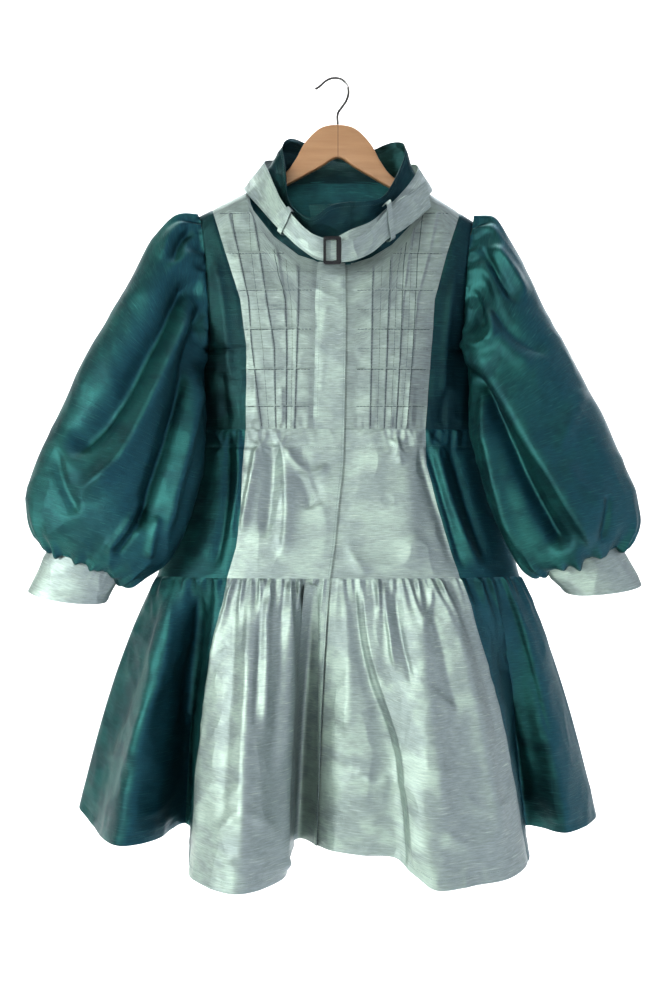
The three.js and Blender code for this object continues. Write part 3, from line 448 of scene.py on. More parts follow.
def stretched(tree, place, scale, detail, rough=0.5, turn=(0.0, 0.0, 0.0)):
    """Noise of its own scale along each axis of a place."""
    place = add_node(tree, "Mapping", {"Vector": place, "Scale": scale, "Rotation": turn})
    noise_inputs = {"Vector": place.outputs["Vector"], "Scale": 1.0, "Detail": detail, "Roughness": rough}
    return add_node(tree, "TexNoise", noise_inputs).outputs["Fac"]


def slub_group():
    """Masks of slubs and patches, a streak value and a bumped normal, all from the flat coordinates
    in metres, and a mask of painted shade from the surface's normal, high where it faces the right."""
    group = bpy.data.node_groups.new("slubs", "ShaderNodeTree")
    for name in ("Slub", "Cloud", "TurnedAndShaded", "Streak"):
        group.interface.new_socket(name, in_out="OUTPUT", socket_type="NodeSocketFloat")
    group.interface.new_socket("Normal", in_out="OUTPUT", socket_type="NodeSocketVector")
    flat = add_node(group, "UVMap", uv_map="flat").outputs["UV"]

    def ranged(value, low, high, to_low=0.0, to_high=1.0, **settings):
        inputs = {"Value": value, "From Min": low, "From Max": high, "To Min": to_low, "To Max": to_high}
        return add_node(group, "MapRange", inputs, **settings).outputs["Result"]

    def sum_of(a, b, c=0.5, operation="ADD"):
        return add_node(group, "Math", {0: a, 1: b, 2: c}, operation=operation).outputs["Value"]

    mask = ranged(stretched(group, flat, (42.0, 640.0, 1.0), 2.0, 0.55), 0.58, 0.74)
    weft = stretched(group, flat, (160.0, 2600.0, 1.0), 2.0)
    warp = stretched(group, flat, (2600.0, 120.0, 1.0), 2.0)
    threads = sum_of(sum_of(mask, 1.3, weft, "MULTIPLY_ADD"), warp)
    bump = add_node(group, "Bump", {"Strength": 0.5, "Distance": 0.00035, "Height": threads})
    normal = add_node(group, "NewGeometry").outputs["Normal"]
    right = add_node(group, "SeparateXYZ", {"Vector": normal}).outputs["X"]
    results = {
        "Slub": sum_of(mask, 0.55, operation="MULTIPLY"),
        "Cloud": ranged(stretched(group, flat, (14.0, 20.0, 1.0), 3.0, 0.6), 0.38, 0.60,
                        interpolation_type="SMOOTHSTEP"),
        # Painted shade: high where the surface faces the right, its own normal pointing to +X.
        "TurnedAndShaded": ranged(right, -0.25, 0.45, interpolation_type="SMOOTHSTEP"),
        "Streak": ranged(stretched(group, flat, (80.0, 520.0, 1.0), 3.0, 0.7), 0.3, 0.7, 0.80, 1.18),
        "Normal": bump.outputs["Normal"],
    }
    out = group.nodes.new("NodeGroupOutput")
    for name, value in results.items():
        group.links.new(value, out.inputs[name])
    return group


SLUBS = slub_group()


def taffeta(name, slot_name, base, pale, deep, turned_and_shaded, metallic, rough):
    """A shot taffeta. pale colours its slubs and deep its cloudy patches. Where the cloth faces the
    right it takes its other thread's colour, darkened as painted shade."""
    material = plain(name, base, rough, {"Metallic": metallic})
    material["slot"] = slot_name
    tree = material.node_tree
    masks = add_node(tree, "Group", node_tree=SLUBS).outputs
    colour = blend(tree, masks["Cloud"], (*deep, 1), (*base, 1))
    # Painted shade: the other thread's darker colour, laid where the cloth faces the right.
    colour = blend(tree, masks["TurnedAndShaded"], colour, (*turned_and_shaded, 1))
    colour = blend(tree, masks["Slub"], colour, (*pale, 1))
    streaked = add_node(tree, "VectorMath", {"Vector": colour, "Scale": masks["Streak"]}, operation="SCALE")
    shader = tree.nodes["Principled BSDF"]
    tree.links.new(streaked.outputs["Vector"], shader.inputs["Base Color"])
    tree.links.new(masks["Normal"], shader.inputs["Normal"])
    return material


TEAL = taffeta("teal taffeta", "teal_taffeta", base=(0.015, 0.090, 0.084), pale=(0.035, 0.15, 0.14),
               deep=(0.007, 0.048, 0.052), turned_and_shaded=(0.011, 0.062, 0.088), metallic=0.75, rough=0.43)
# The teal at about half its brightness: painted shade, for the collar and the side fronts.
SHADED_TEAL = taffeta("shaded teal taffeta", "teal_taffeta", base=(0.008, 0.047, 0.045), pale=(0.02, 0.085, 0.08),
                      deep=(0.004, 0.026, 0.029), turned_and_shaded=(0.006, 0.035, 0.050), metallic=0.75, rough=0.43)
# The silver darkened by about a quarter: painted shade, for the tucked yokes.
SHADED_SILVER = taffeta("shaded silver taffeta", "silver_taffeta", base=(0.245, 0.315, 0.28),
                        pale=(0.34, 0.41, 0.37), deep=(0.17, 0.215, 0.205),
                        turned_and_shaded=(0.185, 0.225, 0.24), metallic=0.6, rough=0.46)
SILVER = taffeta("silver taffeta", "silver_taffeta", base=(0.315, 0.405, 0.355), pale=(0.43, 0.515, 0.46),
                 deep=(0.21, 0.265, 0.252), turned_and_shaded=(0.225, 0.275, 0.29), metallic=0.6, rough=0.46)

CLOTH_SHARP = 62  # degrees between faces past which an edge of the cloth shades sharp


def placed(mesh, material):
    """The object of a finished mesh, in the scene and riding on the part's one body."""
    mesh.materials.append(material)
    piece = bpy.data.objects.new(mesh.name, mesh)
    bpy.context.scene.collection.objects.link(piece)
    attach(piece, "root")
    return piece


def cloth(node, net, material, ring=False, sign=1, thick=0.9):
    """A thin closed piece whose outside is the net, standing for a CAD node."""
    columns, rows = net.shape[:2]
    inside = net - thick * (facing(net, ring) * sign)
    vertices = np.concatenate([net.reshape(-1, 3), inside.reshape(-1, 3)]) * MM
    count = columns * rows
    spans = columns if ring else columns - 1
    i = np.arange(spans)[:, None]
    j = np.arange(rows - 1)[None, :]
    k = (i + 1) % columns
    a, d = i * rows + j, k * rows + j
    outer = np.stack([a, a + 1, d + 1, d], -1).reshape(-1, 4)
    inner = np.stack([d, d + 1, a + 1, a], -1).reshape(-1, 4) + count
    i1, k1 = i[:, 0], k[:, 0]
    top = np.stack([i1 * rows, k1 * rows, k1 * rows + count, i1 * rows + count], -1)
    end = rows - 1
    foot = np.stack([i1 * rows + end + count, k1 * rows + end + count, k1 * rows + end,
                     i1 * rows + end], -1)
    faces = [outer, inner, top, foot]
    if not ring:
        j1 = j[0]
        last = (columns - 1) * rows
        faces.append(np.stack([j1, j1 + count, j1 + 1 + count, j1 + 1], -1))
        edge = last + j1
        faces.append(np.stack([edge + 1, edge + 1 + count, edge + count, edge], -1))
    faces = np.concatenate(faces)
    if sign < 0:
        faces = faces[:, ::-1]
    mesh = bpy.data.meshes.new(f"{node}_cloth")
    mesh.from_pydata(vertices.tolist(), [], faces.tolist())
    u = np.concatenate([[0], np.cumsum(np.linalg.norm(np.diff(net, axis=0), axis=2).mean(axis=1))])
    if ring:
        u = np.append(u, u[-1] + u[1])
    v = np.concatenate([[0], np.cumsum(np.linalg.norm(np.diff(net, axis=1), axis=2).mean(axis=0))])
    cu, cv = np.divmod(np.arange(2 * count) % count, rows)
    loops = np.empty(len(mesh.loops), dtype=np.int32)
    mesh.loops.foreach_get("vertex_index", loops)
    per = loops.reshape(-1, 4)
    column = cu[per].astype(int)
    if ring:
        wraps = (column.max(axis=1) - column.min(axis=1)) > 1
        column[wraps] = np.where(column[wraps] == 0, columns, column[wraps])
    flat = np.stack([u[column], v[cv[per]]], -1).reshape(-1, 2) * MM
    mesh.uv_layers.new(name="flat").data.foreach_set("uv", flat.ravel())
    mesh.shade_smooth()
    mesh.set_sharp_from_angle(angle=math.radians(CLOTH_SHARP))
    piece = placed(mesh, material)
    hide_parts(node)


# The side fronts wear the darkened teal and the yokes the darkened silver: painted shade.
cloth("side_front_left", left_net[:left_princess + 1], SHADED_TEAL)
cloth("yoke_left", left_net[left_princess:left_band + 1], SHADED_SILVER)
cloth("placket_band", left_net[left_band:], SILVER)
cloth("yoke_right", right_net[:right_princess + 1], SHADED_SILVER)
cloth("side_front_right", right_net[right_princess:], SHADED_TEAL)
cloth("back_bodice", back_net, TEAL)

# Upper skirt: silver fronts with teal sides and back, cut wider than the waist. A cord hidden in a
# stitched channel along their top edge draws the cloth in.
SKIRT_SEAM_Z = [WAIST, -500, -561, -606, TIER]
SKIRT_LEFT = [-118, -121, -123, -129, -140]
SKIRT_RIGHT = [112, 113, 129, 142, 154]
SKIRT_EDGE = [8, 7, 0, -4, -10]
SKIRT_Z = np.concatenate([WAIST - np.array([0, 0.6, 1.5]), np.linspace(WAIST - 3, TIER, 92)])
CHANNEL = 23.0  # depth of the drawstring's channel


def skirt_line(xs, shift=0.0):
    return lambda z: falling(z, SKIRT_SEAM_Z, xs) + shift


def skirt_net(lines, counts, face):
    return np.array([body_point(x_of(SKIRT_Z), SKIRT_Z, face) for x_of in columns_between(lines, counts)])


SKIRT_COUNTS = {"left": [34, 92], "right": [36, 86, 34], "back": [66, 66]}
left_skirt = skirt_net([side_line(-1), skirt_line(SKIRT_LEFT), skirt_line(SKIRT_EDGE)],
                       SKIRT_COUNTS["left"], "front")
right_skirt = skirt_net([skirt_line(SKIRT_EDGE, -UNDERLAP), skirt_line(SKIRT_EDGE, LAP_WIDE),
                         skirt_line(SKIRT_RIGHT), side_line(1)], SKIRT_COUNTS["right"], "front")
back_skirt = skirt_net(back_lines, SKIRT_COUNTS["back"], "back")

SKIRT_FOLDS = [
    ([(-141, -462), (-143, -560), (-158, -640)], -7, 8, 10),
    ([(-128, -462), (-126, -520), (-138, -600)], 6, 7, 7),
    ([(-99, -466), (-103, -482), (-112, -530), (-123, -592)], 7, 9, 6),
    ([(-83, -468), (-84, -520), (-92, -600)], -6.5, 9, 12, 0.2),
    ([(-74, -462), (-68, -500), (-65, -560), (-70, -625)], 6, 14, 7, 0.2),
    ([(-69, -479), (-38, -512), (-8, -504)], 4.6, 7, 7),
    ([(-52, -508), (-40, -534), (-34, -560)], -4, 11, 9),
    ([(-50, -474), (-30, -522), (-16, -560)], -2.5, 10, 8),
    ([(-24, -540), (-14, -580), (-20, -630)], 1.8, 9, 10),
    ([(0, -585), (18, -618), (38, -645)], 3, 9, 6),
    ([(84, -466), (90, -550), (100, -642)], 6, 22, 34),
    ([(76, -466), (77, -486), (80, -506)], 3.4, 5, 6),
    ([(99, -470), (108, -505), (128, -570), (148, -640)], -4.5, 6, 9),
    ([(112, -470), (138, -560), (160, -640)], -6, 6, 5),
    ([(124, -460), (134, -520), (158, -590), (182, -640)], 7, 9, 8),
    ([(142, -470), (160, -540), (190, -630)], -5, 9, 8),
]
SKIRT_BACK_FOLDS = [
    ([(x, -462), (x * 1.2, -550), (x * 1.42, -640)], h, 9, 9)
    for x, h in ((-135, -4), (-112, 4), (-84, -3), (-60, 4), (-30, -3), (-6, 3.5),
                 (22, -3), (48, 4), (74, -3), (100, 4), (128, -4))
]


KNOTS = (-147, -97, -72, 76, 132)
DRAWN = [-158, -150, -128, -104, -66, -54, 52, 64, 88, 124, 148, 158]
DRAWN_SHARE = [0.6, 1.0, 1.0, 0.5, 0.35, 0.0, 0.0, 0.3, 0.5, 1.0, 1.0, 0.6]


def drawn_share(x):
    """How tightly the drawstring gathers the cloth at x: most beside the front seams."""
    return np.interp(x, DRAWN, DRAWN_SHARE)


def skirt_height(net, folds, seed, face):
    down = WAIST - net[..., 2]
    across = net[..., 0]
    low, high = across[:, 0].min(), across[:, 0].max()
    places = spread(int((high - low) / 8.0), seed, low, high)
    drawn = gathers(across, down, places, 3.2, 2.2, 22.0, seed, 8.0)
    channel = 0.9 * np.sin(np.pi * np.clip(down / CHANNEL, 0, 1)) - np.exp(-((down - CHANNEL) / 1.6) ** 2)
    drawn_in = drawn_share(across)
    wobble = 0.35 * np.sin(across / 2.6 + 2 * noise(net, 14, seed))
    wobble = wobble * np.clip(down / 4, 0, 1) * (down < CHANNEL) * drawn_in
    drawn *= 0.15 + 1.1 * drawn_in
    for x in KNOTS if face < 0 else []:
        away = np.hypot(across - x, (down - CHANNEL + 2) * 0.8)
        around = np.arctan2(down - CHANNEL + 2, across - x)
        drawn = drawn + 2.2 * np.exp(-(away / 4.5) ** 2)
        drawn = drawn + 0.6 * np.sin(7 * around + x) * np.exp(-((away - 9) / 6) ** 2)
    height = drawn + channel + wobble + folded(net, folds, face) + 0.9 * crumple(net, 34, seed)
    return height * smooth((net[..., 2] - TIER) / 10)


height = skirt_height(left_skirt, SKIRT_FOLDS, 31, -1)
calm = smooth((-2 - (left_skirt[..., 0] - falling(left_skirt[..., 2], SKIRT_SEAM_Z, SKIRT_EDGE))) / 30)
height = height * edge_calm(left_skirt, first=True, top=False) * (0.25 + 0.75 * calm)
left_skirt = lift(left_skirt, height + seam_dip(left_skirt.shape, [SKIRT_COUNTS["left"][0]]))
height = skirt_height(right_skirt, SKIRT_FOLDS, 32, -1)
out = right_skirt[..., 0] - falling(right_skirt[..., 2], SKIRT_SEAM_Z, SKIRT_EDGE)
height = height * edge_calm(right_skirt, final=True, top=False) * smooth((out - 6) / 30)
under = -LAP * (1 - smooth((out - 2) / 44))
skirt_right_seam = sum(SKIRT_COUNTS["right"][:2])
right_skirt = lift(right_skirt, height + under + seam_dip(right_skirt.shape, [skirt_right_seam]))
height = skirt_height(back_skirt, SKIRT_BACK_FOLDS, 33, 1) * edge_calm(back_skirt, True, True, False)
back_skirt = lift(back_skirt, height)

skirt_left_seam = SKIRT_COUNTS["left"][0]
cloth("skirt_side_left", left_skirt[:skirt_left_seam + 1], TEAL)
cloth("skirt_front_left", left_skirt[skirt_left_seam:], SILVER)
cloth("skirt_front_right", right_skirt[:skirt_right_seam + 1], SILVER)
cloth("skirt_side_right", right_skirt[skirt_right_seam:], TEAL)
cloth("skirt_back", back_skirt, TEAL)

# Lower tier: a wider strip of the same taffeta, silver in front and teal round the sides and back.
# Its top is gathered into the tier seam, and its stitched hem stands in deep folds.
HEM = [
    (-352, 92, -963), (-327, 50, -982), (-277, -40, -986), (-238, -12, -986), (-203, 60, -982),
    (-190, -50, -1012), (-175, -99, -1015), (-123, -140, -1020), (-68, -88, -1015), (-62, -30, -1003),
    (-52, 8, -990), (-28, -34, -988), (-6, -64, -988), (27, -75, -990), (69, -84, -991),
    (92, -103, -1007), (118, -123, -1020), (166, -109, -1018), (211, -88, -1015), (244, -43, -1005),
    (252, 62, -985), (272, 50, -985), (303, 28, -986), (354, 98, -977), (300, 118, -978),
    (240, 90, -978), (170, 125, -980), (95, 95, -980), (20, 130, -980), (-60, 98, -980),
    (-130, 128, -980), (-205, 92, -978), (-275, 120, -978),
]
HEM_DEEP = 11  # from the hem's edge to its stitching
HEM_SEAMS = dict(side_left=0, front_left=5, edge=11, front_right=19, side_right=23)
TIER_V = np.concatenate([[0, 0.004, 0.01, 0.018], np.linspace(0.028, 0.988, 92), [0.994, 1.0]])


def hem_share(name):
    return HEM_SEAMS[name] / len(HEM)


def evenly(points, count):
    """count + 1 points the same distance apart along a dense path."""
    run = np.concatenate([[0], np.cumsum(np.linalg.norm(np.diff(points, axis=0), axis=1))])
    goal = np.linspace(0, run[-1], count + 1)
    return np.stack([np.interp(goal, run, points[:, k]) for k in range(3)], -1)


def tier_panel(x_from, x_to, face, hem_from, hem_to, count):
    t = np.linspace(0, 1, 161)
    tops = evenly(body_point(mix(x_from, x_to, t), TIER, face), count)[:, None]
    hems = evenly(curve(HEM, mix(hem_from, hem_to, t), closed=True), count)[:, None]
    v = TIER_V[None, :, None]
    net = mix(tops, hems, v)
    swell = 0.1 * np.sin(np.pi * TIER_V ** 0.8)
    net[..., :2] += (hems - tops)[..., :2] * swell[None, :, None]
    return net


TIER_SIDES = {"left": -235.0, "right": 236.0}
TIER_COUNTS = dict(side=76, front=140, back=96)
left_tier = np.concatenate([
    tier_panel(TIER_SIDES["left"], -140, "front", 0, hem_share("front_left"), TIER_COUNTS["side"]),
    tier_panel(-140, -10, "front", hem_share("front_left"), hem_share("edge"), TIER_COUNTS["front"])[1:]])
right_tier = np.concatenate([
    tier_panel(-10, 154, "front", hem_share("edge"), hem_share("front_right"), TIER_COUNTS["front"]),
    tier_panel(154, TIER_SIDES["right"], "front", hem_share("front_right"), hem_share("side_right"),
               TIER_COUNTS["side"])[1:]])
middle = (hem_share("side_right") + 1) / 2
back_tier = np.concatenate([
    tier_panel(TIER_SIDES["right"], 0.01, "back", hem_share("side_right"), middle, TIER_COUNTS["back"]),
    tier_panel(-0.01, TIER_SIDES["left"], "back", middle, 1.0, TIER_COUNTS["back"])[1:]])

TIER_FOLDS = [
    ([(-60, -648), (-61, -794), (-62, -906), (-66, -1010)], 8, 10, 12, 0.03),
    ([(-31, -650), (-30, -794), (-32, -906), (-37, -1000)], -13, 4, 22, 0.03),
    ([(-134, -655), (-133, -766), (-138, -863), (-141, -960)], -5, 13, 12),
    ([(-112, -652), (-112, -760), (-116, -880), (-116, -1000)], 5.5, 12, 9),
    ([(-97, -648), (-98, -740), (-104, -830)], -4.5, 6, 6),
    ([(-90, -646), (-90, -740), (-92, -835)], 6, 8, 5),
    ([(-89, -646), (-84, -668), (-89, -690)], 4, 4, 5),
    ([(-70, -650), (-72, -760), (-78, -880)], -4, 7, 10),
    ([(-152, -655), (-160, -760), (-172, -900), (-176, -1000)], 5, 9, 8),
    ([(10, -652), (14, -760), (10, -860)], 4, 14, 10),
    ([(20, -650), (27, -720), (38, -770), (60, -835), (72, -908), (82, -1004)], -8, 4, 24, 0.08),
    ([(31, -650), (38, -720), (50, -766), (73, -831), (86, -908), (97, -1010)], 6, 20, 4, 0.08),
    ([(57, -648), (62, -690), (72, -760)], 6, 6, 4),
    ([(68, -650), (74, -700), (92, -780)], -4.5, 7, 6),
    ([(90, -650), (104, -730), (120, -860), (130, -960)], 5, 14, 14),
    ([(118, -648), (114, -684), (102, -704)], 5, 4, 5),
    ([(108, -652), (126, -720), (150, -820)], -4, 9, 9),
    ([(134, -650), (156, -740), (184, -860), (206, -990)], 6, 12, 12),
    ([(146, -652), (176, -750), (206, -860)], -4, 10, 9),
    ([(112, -778), (143, -803), (185, -797)], 3, 6, 11),
    ([(100, -875), (148, -881), (176, -872)], 2.4, 6, 10),
    ([(125, -951), (161, -969), (204, -960)], 3, 6, 11),
    ([(150, -905), (182, -928), (222, -920)], 2.6, 6, 10),
    ([(20, -880), (48, -900), (66, -890)], 2.6, 6, 9),
    ([(-150, -955), (-116, -928), (-84, -945)], 3.4, 11, 6),
    ([(-142, -918), (-110, -894), (-88, -904)], 2.6, 9, 6),
    ([(-160, -990), (-120, -978), (-82, -986)], 2.6, 9, 6),
    ([(190, -652), (214, -740), (246, -860), (276, -960)], 6, 12, 14),
    ([(214, -652), (244, -750), (286, -880)], -6, 10, 12),
    ([(-172, -652), (-184, -740), (-206, -860)], -8, 12, 10),
    ([(-208, -652), (-226, -761), (-276, -901)], 7, 14, 10),
    ([(-224, -655), (-250, -740), (-296, -870)], -5, 10, 12),
]


def reach(net):
    """Distance of each point from its column's first one."""
    steps = np.linalg.norm(np.diff(net, axis=1), axis=2)
    return np.concatenate([np.zeros((len(net), 1)), np.cumsum(steps, axis=1)], axis=1)


def tier_height(net, gather_count, seed):
    """Gathers at the top, soft bends below, and the puckers of the hem's stitching."""
    columns = len(net)
    across = np.linspace(0, 1, columns)[:, None] + 0 * net[..., 0]
    down = reach(net)
    wide = 1.0 / gather_count
    height = gathers(across, down, spread(gather_count, seed, shake=0.5), 0.27 * wide, 5.4, 46.0, seed,
                     0.6 * wide)
    height += gathers(across, down, spread(2 * gather_count, seed + 1), 0.14 * wide, 1.1, 15.0, seed + 1)
    total = down[:, -1:]
    from_hem = total - down
    ripple = 0.35 * np.sin(across * columns * 0.9 + 3 * noise(net, 30, seed))
    ripple *= np.exp(-((from_hem - 12) / 9) ** 2)
    hem_edge = -0.5 * np.exp(-((from_hem - HEM_DEEP) / 1.6) ** 2)
    soft = 2.4 * noise(net, 85, seed + 2) + 1.3 * crumple(net, 55, seed + 3)
    soft += 0.5 * crumple(net, 24, seed + 4)
    return height + ripple + hem_edge + soft * smooth(down / 30)


height = tier_height(left_tier, 21, 41) + folded(left_tier, TIER_FOLDS)
fade = np.arange(len(left_tier))[:, None]
height = height * edge_calm(left_tier, first=True, top=False)
height *= 0.2 + 0.8 * smooth((len(left_tier) - 1 - fade) / 14)
plain_left = left_tier
left_tier = lift(left_tier, height + seam_dip(left_tier.shape, [TIER_COUNTS["side"]]))
LAP_COLUMNS = 34
tier_lap = plain_left[-LAP_COLUMNS:] + (-LAP) * facing(plain_left)[-LAP_COLUMNS:]
height = tier_height(right_tier, 22, 51) + folded(right_tier, TIER_FOLDS)
fade = np.arange(len(right_tier))[:, None]
right_tier_seam = TIER_COUNTS["front"]
height = height * edge_calm(right_tier, final=True, top=False) * smooth((fade - 4) / 14)
height += -LAP * (1 - smooth((fade - 1) / 34)) + seam_dip(right_tier.shape, [right_tier_seam])
right_tier = np.concatenate([tier_lap, lift(right_tier, height)[1:]])
right_tier_seam += LAP_COLUMNS - 1
height = tier_height(back_tier, 32, 61) * edge_calm(back_tier, True, True, False)
back_tier = lift(back_tier, height)

tier_left_seam = TIER_COUNTS["side"]
cloth("tier_side_left", left_tier[:tier_left_seam + 1], TEAL)
cloth("tier_front_left", left_tier[tier_left_seam:], SILVER)
cloth("tier_front_right", right_tier[:right_tier_seam + 1], SILVER)
cloth("tier_side_right", right_tier[right_tier_seam:], TEAL)
cloth("tier_back", back_tier, TEAL)

# Balloon sleeves: teal taffeta cut wide, gathered into the armhole and again into a silver cuff,
# which is folded double. Deep folds run down from the cap, where the cloth hangs.
CUFFS = {
    -1: dict(seam=(-315, -58, -617, -45, 20, 24, 0), open=(-341, -56, -667, -49, 7, 25, 7)),
    1: dict(seam=(304, -58, -612, 50, 18, 24, 0), open=(333, -56, -657, 50, 5, 25, 7)),
}
# Sleeve sections: outer x and z, inner x and z, the middle's y, half the depth, forward lean
SLEEVES = {
    -1: [
        (-208, -176, -170, -357, -2, 33, 11),
        (-244, -214, -174, -378, -6, 44, 16),
        (-282, -290, -171, -406, -14, 50, 20),
        (-320, -360, -168, -450, -25, 53, 18),
        (-357, -442, -170, -500, -38, 54, 12),
        (-384, -507, -181, -556, -52, 53, 6),
        (-393, -545, -196, -597, -59, 50, 2),
        (-388, -575, -216, -627, -61, 46, 0),
        (-374, -597, -242, -643, -60, 38, 0),
        (-366, -607, -262, -649, -59, 30, 0),
    ],
    1: [
        (202, -180, 167, -358, -2, 33, 11),
        (228, -222, 169, -382, -6, 44, 16),
        (262, -292, 168, -411, -14, 50, 20),
        (296, -357, 167, -452, -25, 53, 18),
        (336, -440, 175, -498, -38, 54, 12),
        (362, -503, 188, -545, -52, 53, 6),
        (376, -548, 203, -585, -59, 50, 2),
        (379, -572, 218, -617, -61, 46, 0),
        (370, -592, 236, -638, -60, 38, 0),
        (362, -602, 249, -642, -59, 30, 0),
    ],
}
SLEEVE_FOLDS = {
    -1: [
        ([(-211, -214), (-249, -276), (-299, -358), (-337, -433)], 5, 26, 24),
        ([(-171, -252), (-211, -313), (-237, -354), (-272, -420), (-299, -456),
          (-343, -491)], -25, 20, 24, 0.12),
        ([(-172, -280), (-198, -341), (-219, -394), (-239, -442), (-262, -489), (-287, -517),
          (-330, -545)], 15, 15, 14),
        ([(-165, -291), (-188, -391), (-209, -465), (-229, -529), (-246, -590)], -22, 13, 15, 0.1),
        ([(-160, -330), (-168, -380), (-174, -420), (-193, -507), (-206, -564), (-219, -607)], 9, 8, 9),
        ([(-236, -540), (-263, -584), (-287, -614)], 7, 8, 5),
        ([(-232, -556), (-258, -596), (-276, -618)], -6, 5, 5),
        ([(-221, -565), (-234, -621)], 6, 6, 6),
        ([(-186, -196), (-203, -219), (-207, -246)], -9, 7, 7),
        ([(-192, -190), (-216, -212), (-222, -244)], 5, 7, 8),
        ([(-316, -566), (-340, -520), (-352, -480)], -5, 10, 9),
    ],
    1: [
        ([(149, -330), (175, -387), (202, -431), (229, -476), (256, -517), (277, -554), (297, -584),
          (312, -610)], 14, 30, 6, 0.1),
        ([(160, -372), (191, -428), (212, -472), (234, -524), (262, -576), (284, -612)], -24, 12, 19, 0.1),
        ([(152, -375), (173, -414), (180, -455), (190, -503), (201, -547), (212, -581),
          (226, -621)], 9, 7, 8),
        ([(162, -258), (166, -323), (181, -354), (196, -340), (190, -300)], 8, 6, 5, 0.12),
        ([(170, -275), (187, -331)], -7, 4, 5),
        ([(180, -216), (204, -262), (226, -298)], -10, 7, 8),
        ([(197, -218), (220, -256), (238, -292)], 7, 9, 5),
        ([(178, -246), (196, -307), (223, -345), (270, -366)], -7, 14, 9),
        ([(184, -300), (206, -352), (246, -384)], 4, 12, 12),
        ([(310, -405), (286, -453), (268, -493)], 5, 9, 16),
        ([(270, -499), (300, -534), (342, -566)], 5, 14, 12),
        ([(322, -600), (326, -570), (330, -540)], -7, 6, 6),
    ],
}
SLEEVE_BACK_FOLDS = {
    sign: [
        ([(sign * 180, -270), (sign * 226, -370), (sign * 270, -470), (sign * 300, -570)], -9, 14, 12),
        ([(sign * 176, -330), (sign * 204, -440), (sign * 236, -540), (sign * 262, -610)], 8, 12, 14),
        ([(sign * 210, -240), (sign * 270, -360), (sign * 326, -480)], 7, 16, 14),
        ([(sign * 180, -420), (sign * 206, -520), (sign * 230, -600)], -7, 10, 10),
    ] for sign in (-1, 1)
}
SLEEVE_COLUMNS = 200
SLEEVE_ROWS = 132
turn = np.linspace(0, 2 * math.pi, SLEEVE_COLUMNS, endpoint=False)


def cuff_point(sign, v, angle, wider=0.0):
    rims = zip(CUFFS[sign]["seam"], CUFFS[sign]["open"])
    x, y, z, half_x, half_z, half_y, droop = (mix(a, b, v) for a, b in rims)
    grow = 1 + wider / abs(half_x)
    cos, sin = np.cos(angle), np.sin(angle)
    return np.stack([x + half_x * cos * grow, y - (half_y + wider) * sin,
                     z + half_z * cos * grow - droop * sin], -1)


def sleeve_net(sign):
    s = SIDE[sign]
    cos, sin = np.cos(turn), np.sin(turn)
    z = mix(UNDERARM, s["shoulder_z"], (cos + 1) / 2)
    edge = sign * side_edge(sign, z)
    armhole = np.where((sin < 0)[:, None], body_point(edge, z, "back"), body_point(edge, z, "front"))
    armhole[:, 0] += sign * 0.3
    rings = [armhole]
    for ox, oz, ix, iz, y, deep, lean in SLEEVES[sign]:
        out = (cos + 1) / 2
        rings.append(np.stack([mix(ix, ox, out), y - deep * sin - lean * (1 - out), mix(iz, oz, out)], -1))
    rings.append(cuff_point(sign, 0.04, turn, 0.6))
    rings = np.array(rings)
    share = np.linspace(0, 1, SLEEVE_ROWS)
    share = share + 0.035 * np.sin(2 * math.pi * share)
    share = (share - share[0]) / (share[-1] - share[0])
    return np.stack([curve(rings[:, k], share) for k in range(SLEEVE_COLUMNS)])


def sleeve_height(net, sign, seed):
    across = turn[:, None] / (2 * math.pi) + 0 * net[..., 0]
    down = reach(net)
    up = down[:, -1:] - down
    cap = 0.35 + 0.65 * smooth((np.cos(turn)[:, None] + 0.6) / 1.2)
    height = gathers(across, down, spread(21, seed, shake=0.6), 0.013, 8.0, 48.0, seed, 0.016) * cap
    height += gathers(across, down, spread(46, seed + 1), 0.005, 1.2, 14.0, seed + 1) * cap
    height += gathers(across, up, spread(22, seed + 2, shake=0.6), 0.012, 8.0, 38.0, seed + 2, 0.014)
    height += gathers(across, up, spread(48, seed + 3), 0.0045, 1.6, 12.0, seed + 3)
    calm = smooth(down / 40) * smooth(up / 30)
    height += folded(net, SLEEVE_FOLDS[sign], -1, True, -sign) * smooth(down / 12) * smooth(up / 12)
    height += folded(net, SLEEVE_BACK_FOLDS[sign], 1, True, -sign) * smooth(down / 12) * smooth(up / 12)
    soft = 1.4 * noise(net, 80, seed + 4) + 1.1 * crumple(net, 60, seed + 5)
    soft += 0.5 * crumple(net, 26, seed + 6)
    return height + soft * calm


CUFF_V = np.linspace(0, 1, 24)
for sign, word in ((-1, "left"), (1, "right")):
    net = sleeve_net(sign)
    net = lift(net, sleeve_height(net, sign, 70 + 10 * sign), True, -sign)
    cloth(f"sleeve_{word}", net, TEAL, ring=True, sign=-sign)
    net = np.stack([cuff_point(sign, v, turn) for v in CUFF_V], axis=1)
    across = turn[:, None] / (2 * math.pi) + 0 * net[..., 0]
    down = reach(net)
    up = down[:, -1:] - down
    height = gathers(across, down, spread(34, 90 + sign), 0.008, 1.4, 14.0, 90 + sign)
    height += 1.2 * noise(net, 34, 95) + 0.8 * crumple(net, 30, 96 + sign)
    height = height * smooth(down / 8) - 0.5 * np.exp(-((up - 7) / 1.3) ** 2)
    net = lift(net, height, True, -sign)
    cloth(f"cuff_{word}", net, SILVER, ring=True,
          sign=-sign)

